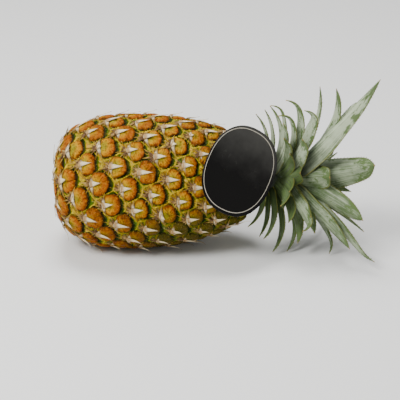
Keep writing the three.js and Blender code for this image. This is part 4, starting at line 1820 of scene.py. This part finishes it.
@dataclass
class Card:
    """The blank oval card, in the place of its solid."""

    half_length: float = 42
    half_width: float = 33
    roundness: float = 2.3
    thickness: float = 2.0
    corner: float = 0.35
    centre: tuple[float, float, float] = (171.5, -39.2, 88)
    turn: float = 22
    lean: float = 25
    spin: float = 33
    line_shift: float = 1.0
    sides: int = 144
    rings: int = 10

    def axes(self) -> tuple[np.ndarray, np.ndarray, np.ndarray]:
        """Directions across, along and out of the card's face.

        Returns:
            The three directions.
        """
        turn, lean, spin = (math.radians(angle) for angle in (self.turn, self.lean, self.spin))
        out = np.array([math.sin(turn) * math.cos(lean), -math.cos(turn) * math.cos(lean), math.sin(lean)])
        level = np.array([math.cos(turn), math.sin(turn), 0])
        up = np.cross(out, level)
        return (level * math.cos(spin) - up * math.sin(spin),
                level * math.sin(spin) + up * math.cos(spin), out)

    def square_off(self, value: np.ndarray) -> np.ndarray:
        """Squares a circle's coordinate off towards the oval's."""
        return np.sign(value) * np.abs(value) ** (2 / self.roundness)

    def build(self) -> None:
        """Builds the card with rounded edges on rings of its oval."""
        across, along, out = self.axes()
        origin = Barrel().origin() * np.array([1, 1, 0]) + np.array(self.centre)
        angle = np.arange(self.sides) * 2 * math.pi / self.sides
        across_rim = self.half_width * self.square_off(np.cos(angle))
        along_rim = self.half_length * self.square_off(np.sin(angle))
        level = [(share / self.rings, self.thickness) for share in range(1, self.rings)]
        outer = 1 - self.corner / self.half_width
        level += [(outer, self.thickness), (1 - 0.3 * (1 - outer), self.thickness - 0.3 * self.corner),
                  (1, self.thickness - self.corner), (1, self.corner),
                  (1 - 0.3 * (1 - outer), 0.3 * self.corner), (outer, 0)]
        level += [(share / self.rings, 0) for share in range(self.rings - 1, 0, -1)]
        flat = [np.array([[0.0, 0.0, self.thickness]])]
        for share, height in level:
            flat.append(np.stack([share * across_rim, share * along_rim, np.full(self.sides, height)], 1))
        flat.append(np.array([[0.0, 0.0, 0.0]]))
        flat = np.concatenate(flat)
        faces = drum_faces(len(level), self.sides)
        points = origin + flat @ np.stack([across, along, out])
        front = (flat[:, 2] > self.thickness - 0.5 * self.corner).astype(float)
        rows = {"card_place": np.stack([flat[:, 0], flat[:, 1], front], 1)}
        piece = add_piece("card_blank", points, faces, CardFinish().make(self), rows)
        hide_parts("label_card")
        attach(piece, BODY)
        log.info("card: %d faces", len(faces))


# The room

@dataclass
class Studio:
    """The pale floor, the soft lights and the camera."""

    azimuth: float = 3.0
    elevation: float = 21.1
    focal_pixels: float = 2070
    frame_pixels: float = 400
    pixels_per_mm: float = 1.075
    target_station: float = 90
    target_pixel: tuple[float, float] = (151.6, 180.5)
    sensor: float = 36
    clip_end: float = 20
    sky: float = 0.36
    floor_half: float = 6000

    def view(self) -> np.ndarray:
        """Direction from the fruit to the camera."""
        turn, tip = math.radians(self.azimuth), math.radians(self.elevation)
        return np.array([math.cos(tip) * math.sin(turn), -math.cos(tip) * math.cos(turn), math.sin(tip)])

    def add_camera(self) -> None:
        """Sets the camera so that the fruit falls where the picture has it."""
        view = self.view()
        target = Barrel().place(self.target_station, 0.0, 0.0)
        distance = self.focal_pixels / self.pixels_per_mm
        data = bpy.data.cameras.new("camera")
        data.sensor_width = self.sensor
        data.lens = self.focal_pixels / self.frame_pixels * self.sensor
        data.shift_x = 0.5 - self.target_pixel[0] / self.frame_pixels
        data.shift_y = self.target_pixel[1] / self.frame_pixels - 0.5
        data.clip_end = self.clip_end
        camera = bpy.data.objects.new("camera", data)
        camera.location = (target + distance * view) * MM
        camera.rotation_euler = Vector(-view).to_track_quat("-Z", "Y").to_euler()
        bpy.context.scene.collection.objects.link(camera)
        bpy.context.scene.camera = camera

    def add_light(self, name: str, place: tuple, size: float, power: float) -> None:
        """Adds a soft square lamp that faces the fruit.

        Args:
            name: The lamp's name.
            place: Where it hangs, in metres.
            size: Its side, in metres.
            power: Its power, in watts.
        """
        data = bpy.data.lights.new(name, "AREA")
        data.size = size
        data.energy = power
        lamp = bpy.data.objects.new(name, data)
        lamp.location = place
        lamp.rotation_euler = (Vector((0, 0, 0.05)) - Vector(place)).to_track_quat("-Z", "Y").to_euler()
        bpy.context.scene.collection.objects.link(lamp)

    def add_floor(self) -> None:
        """Adds the plain pale floor."""
        paint = Paint("floor_pale", Roughness=0.7)
        paint.shader.inputs["Base Color"].default_value = srgb(232, 232, 230)
        half = self.floor_half
        corners = np.array([[-half, -half, 0], [half, -half, 0], [half, half, 0], [-half, half, 0]])
        floor = add_piece("floor", corners, [[0, 1, 2, 3]], paint.material)

    def add_sky(self) -> None:
        """Fills the room with even pale light."""
        world = bpy.data.worlds.new("room")
        bpy.context.scene.world = world
        world.use_nodes = True
        background = world.node_tree.nodes["Background"]
        background.inputs["Color"].default_value = (1, 1, 1, 1)
        background.inputs["Strength"].default_value = self.sky

    def build(self) -> None:
        """Sets up the room."""
        self.add_camera()
        self.add_floor()
        self.add_sky()
        self.add_light("key", (-1.0, -1.0, 1.4), 0.8, 50)
        self.add_light("fill", (1.3, -1.2, 0.7), 1.2, 3)
        self.add_light("top", (-0.2, 0.5, 1.7), 0.8, 30)


def main() -> None:
    """Builds the pieces in order and keeps the two boxes."""
    logging.basicConfig(level=logging.INFO)
    Studio().build()
    Rind().build()
    Stalk().build()
    Crown().build()
    Card().build()
    log.info("done")


if __name__ == "__main__":
    main()
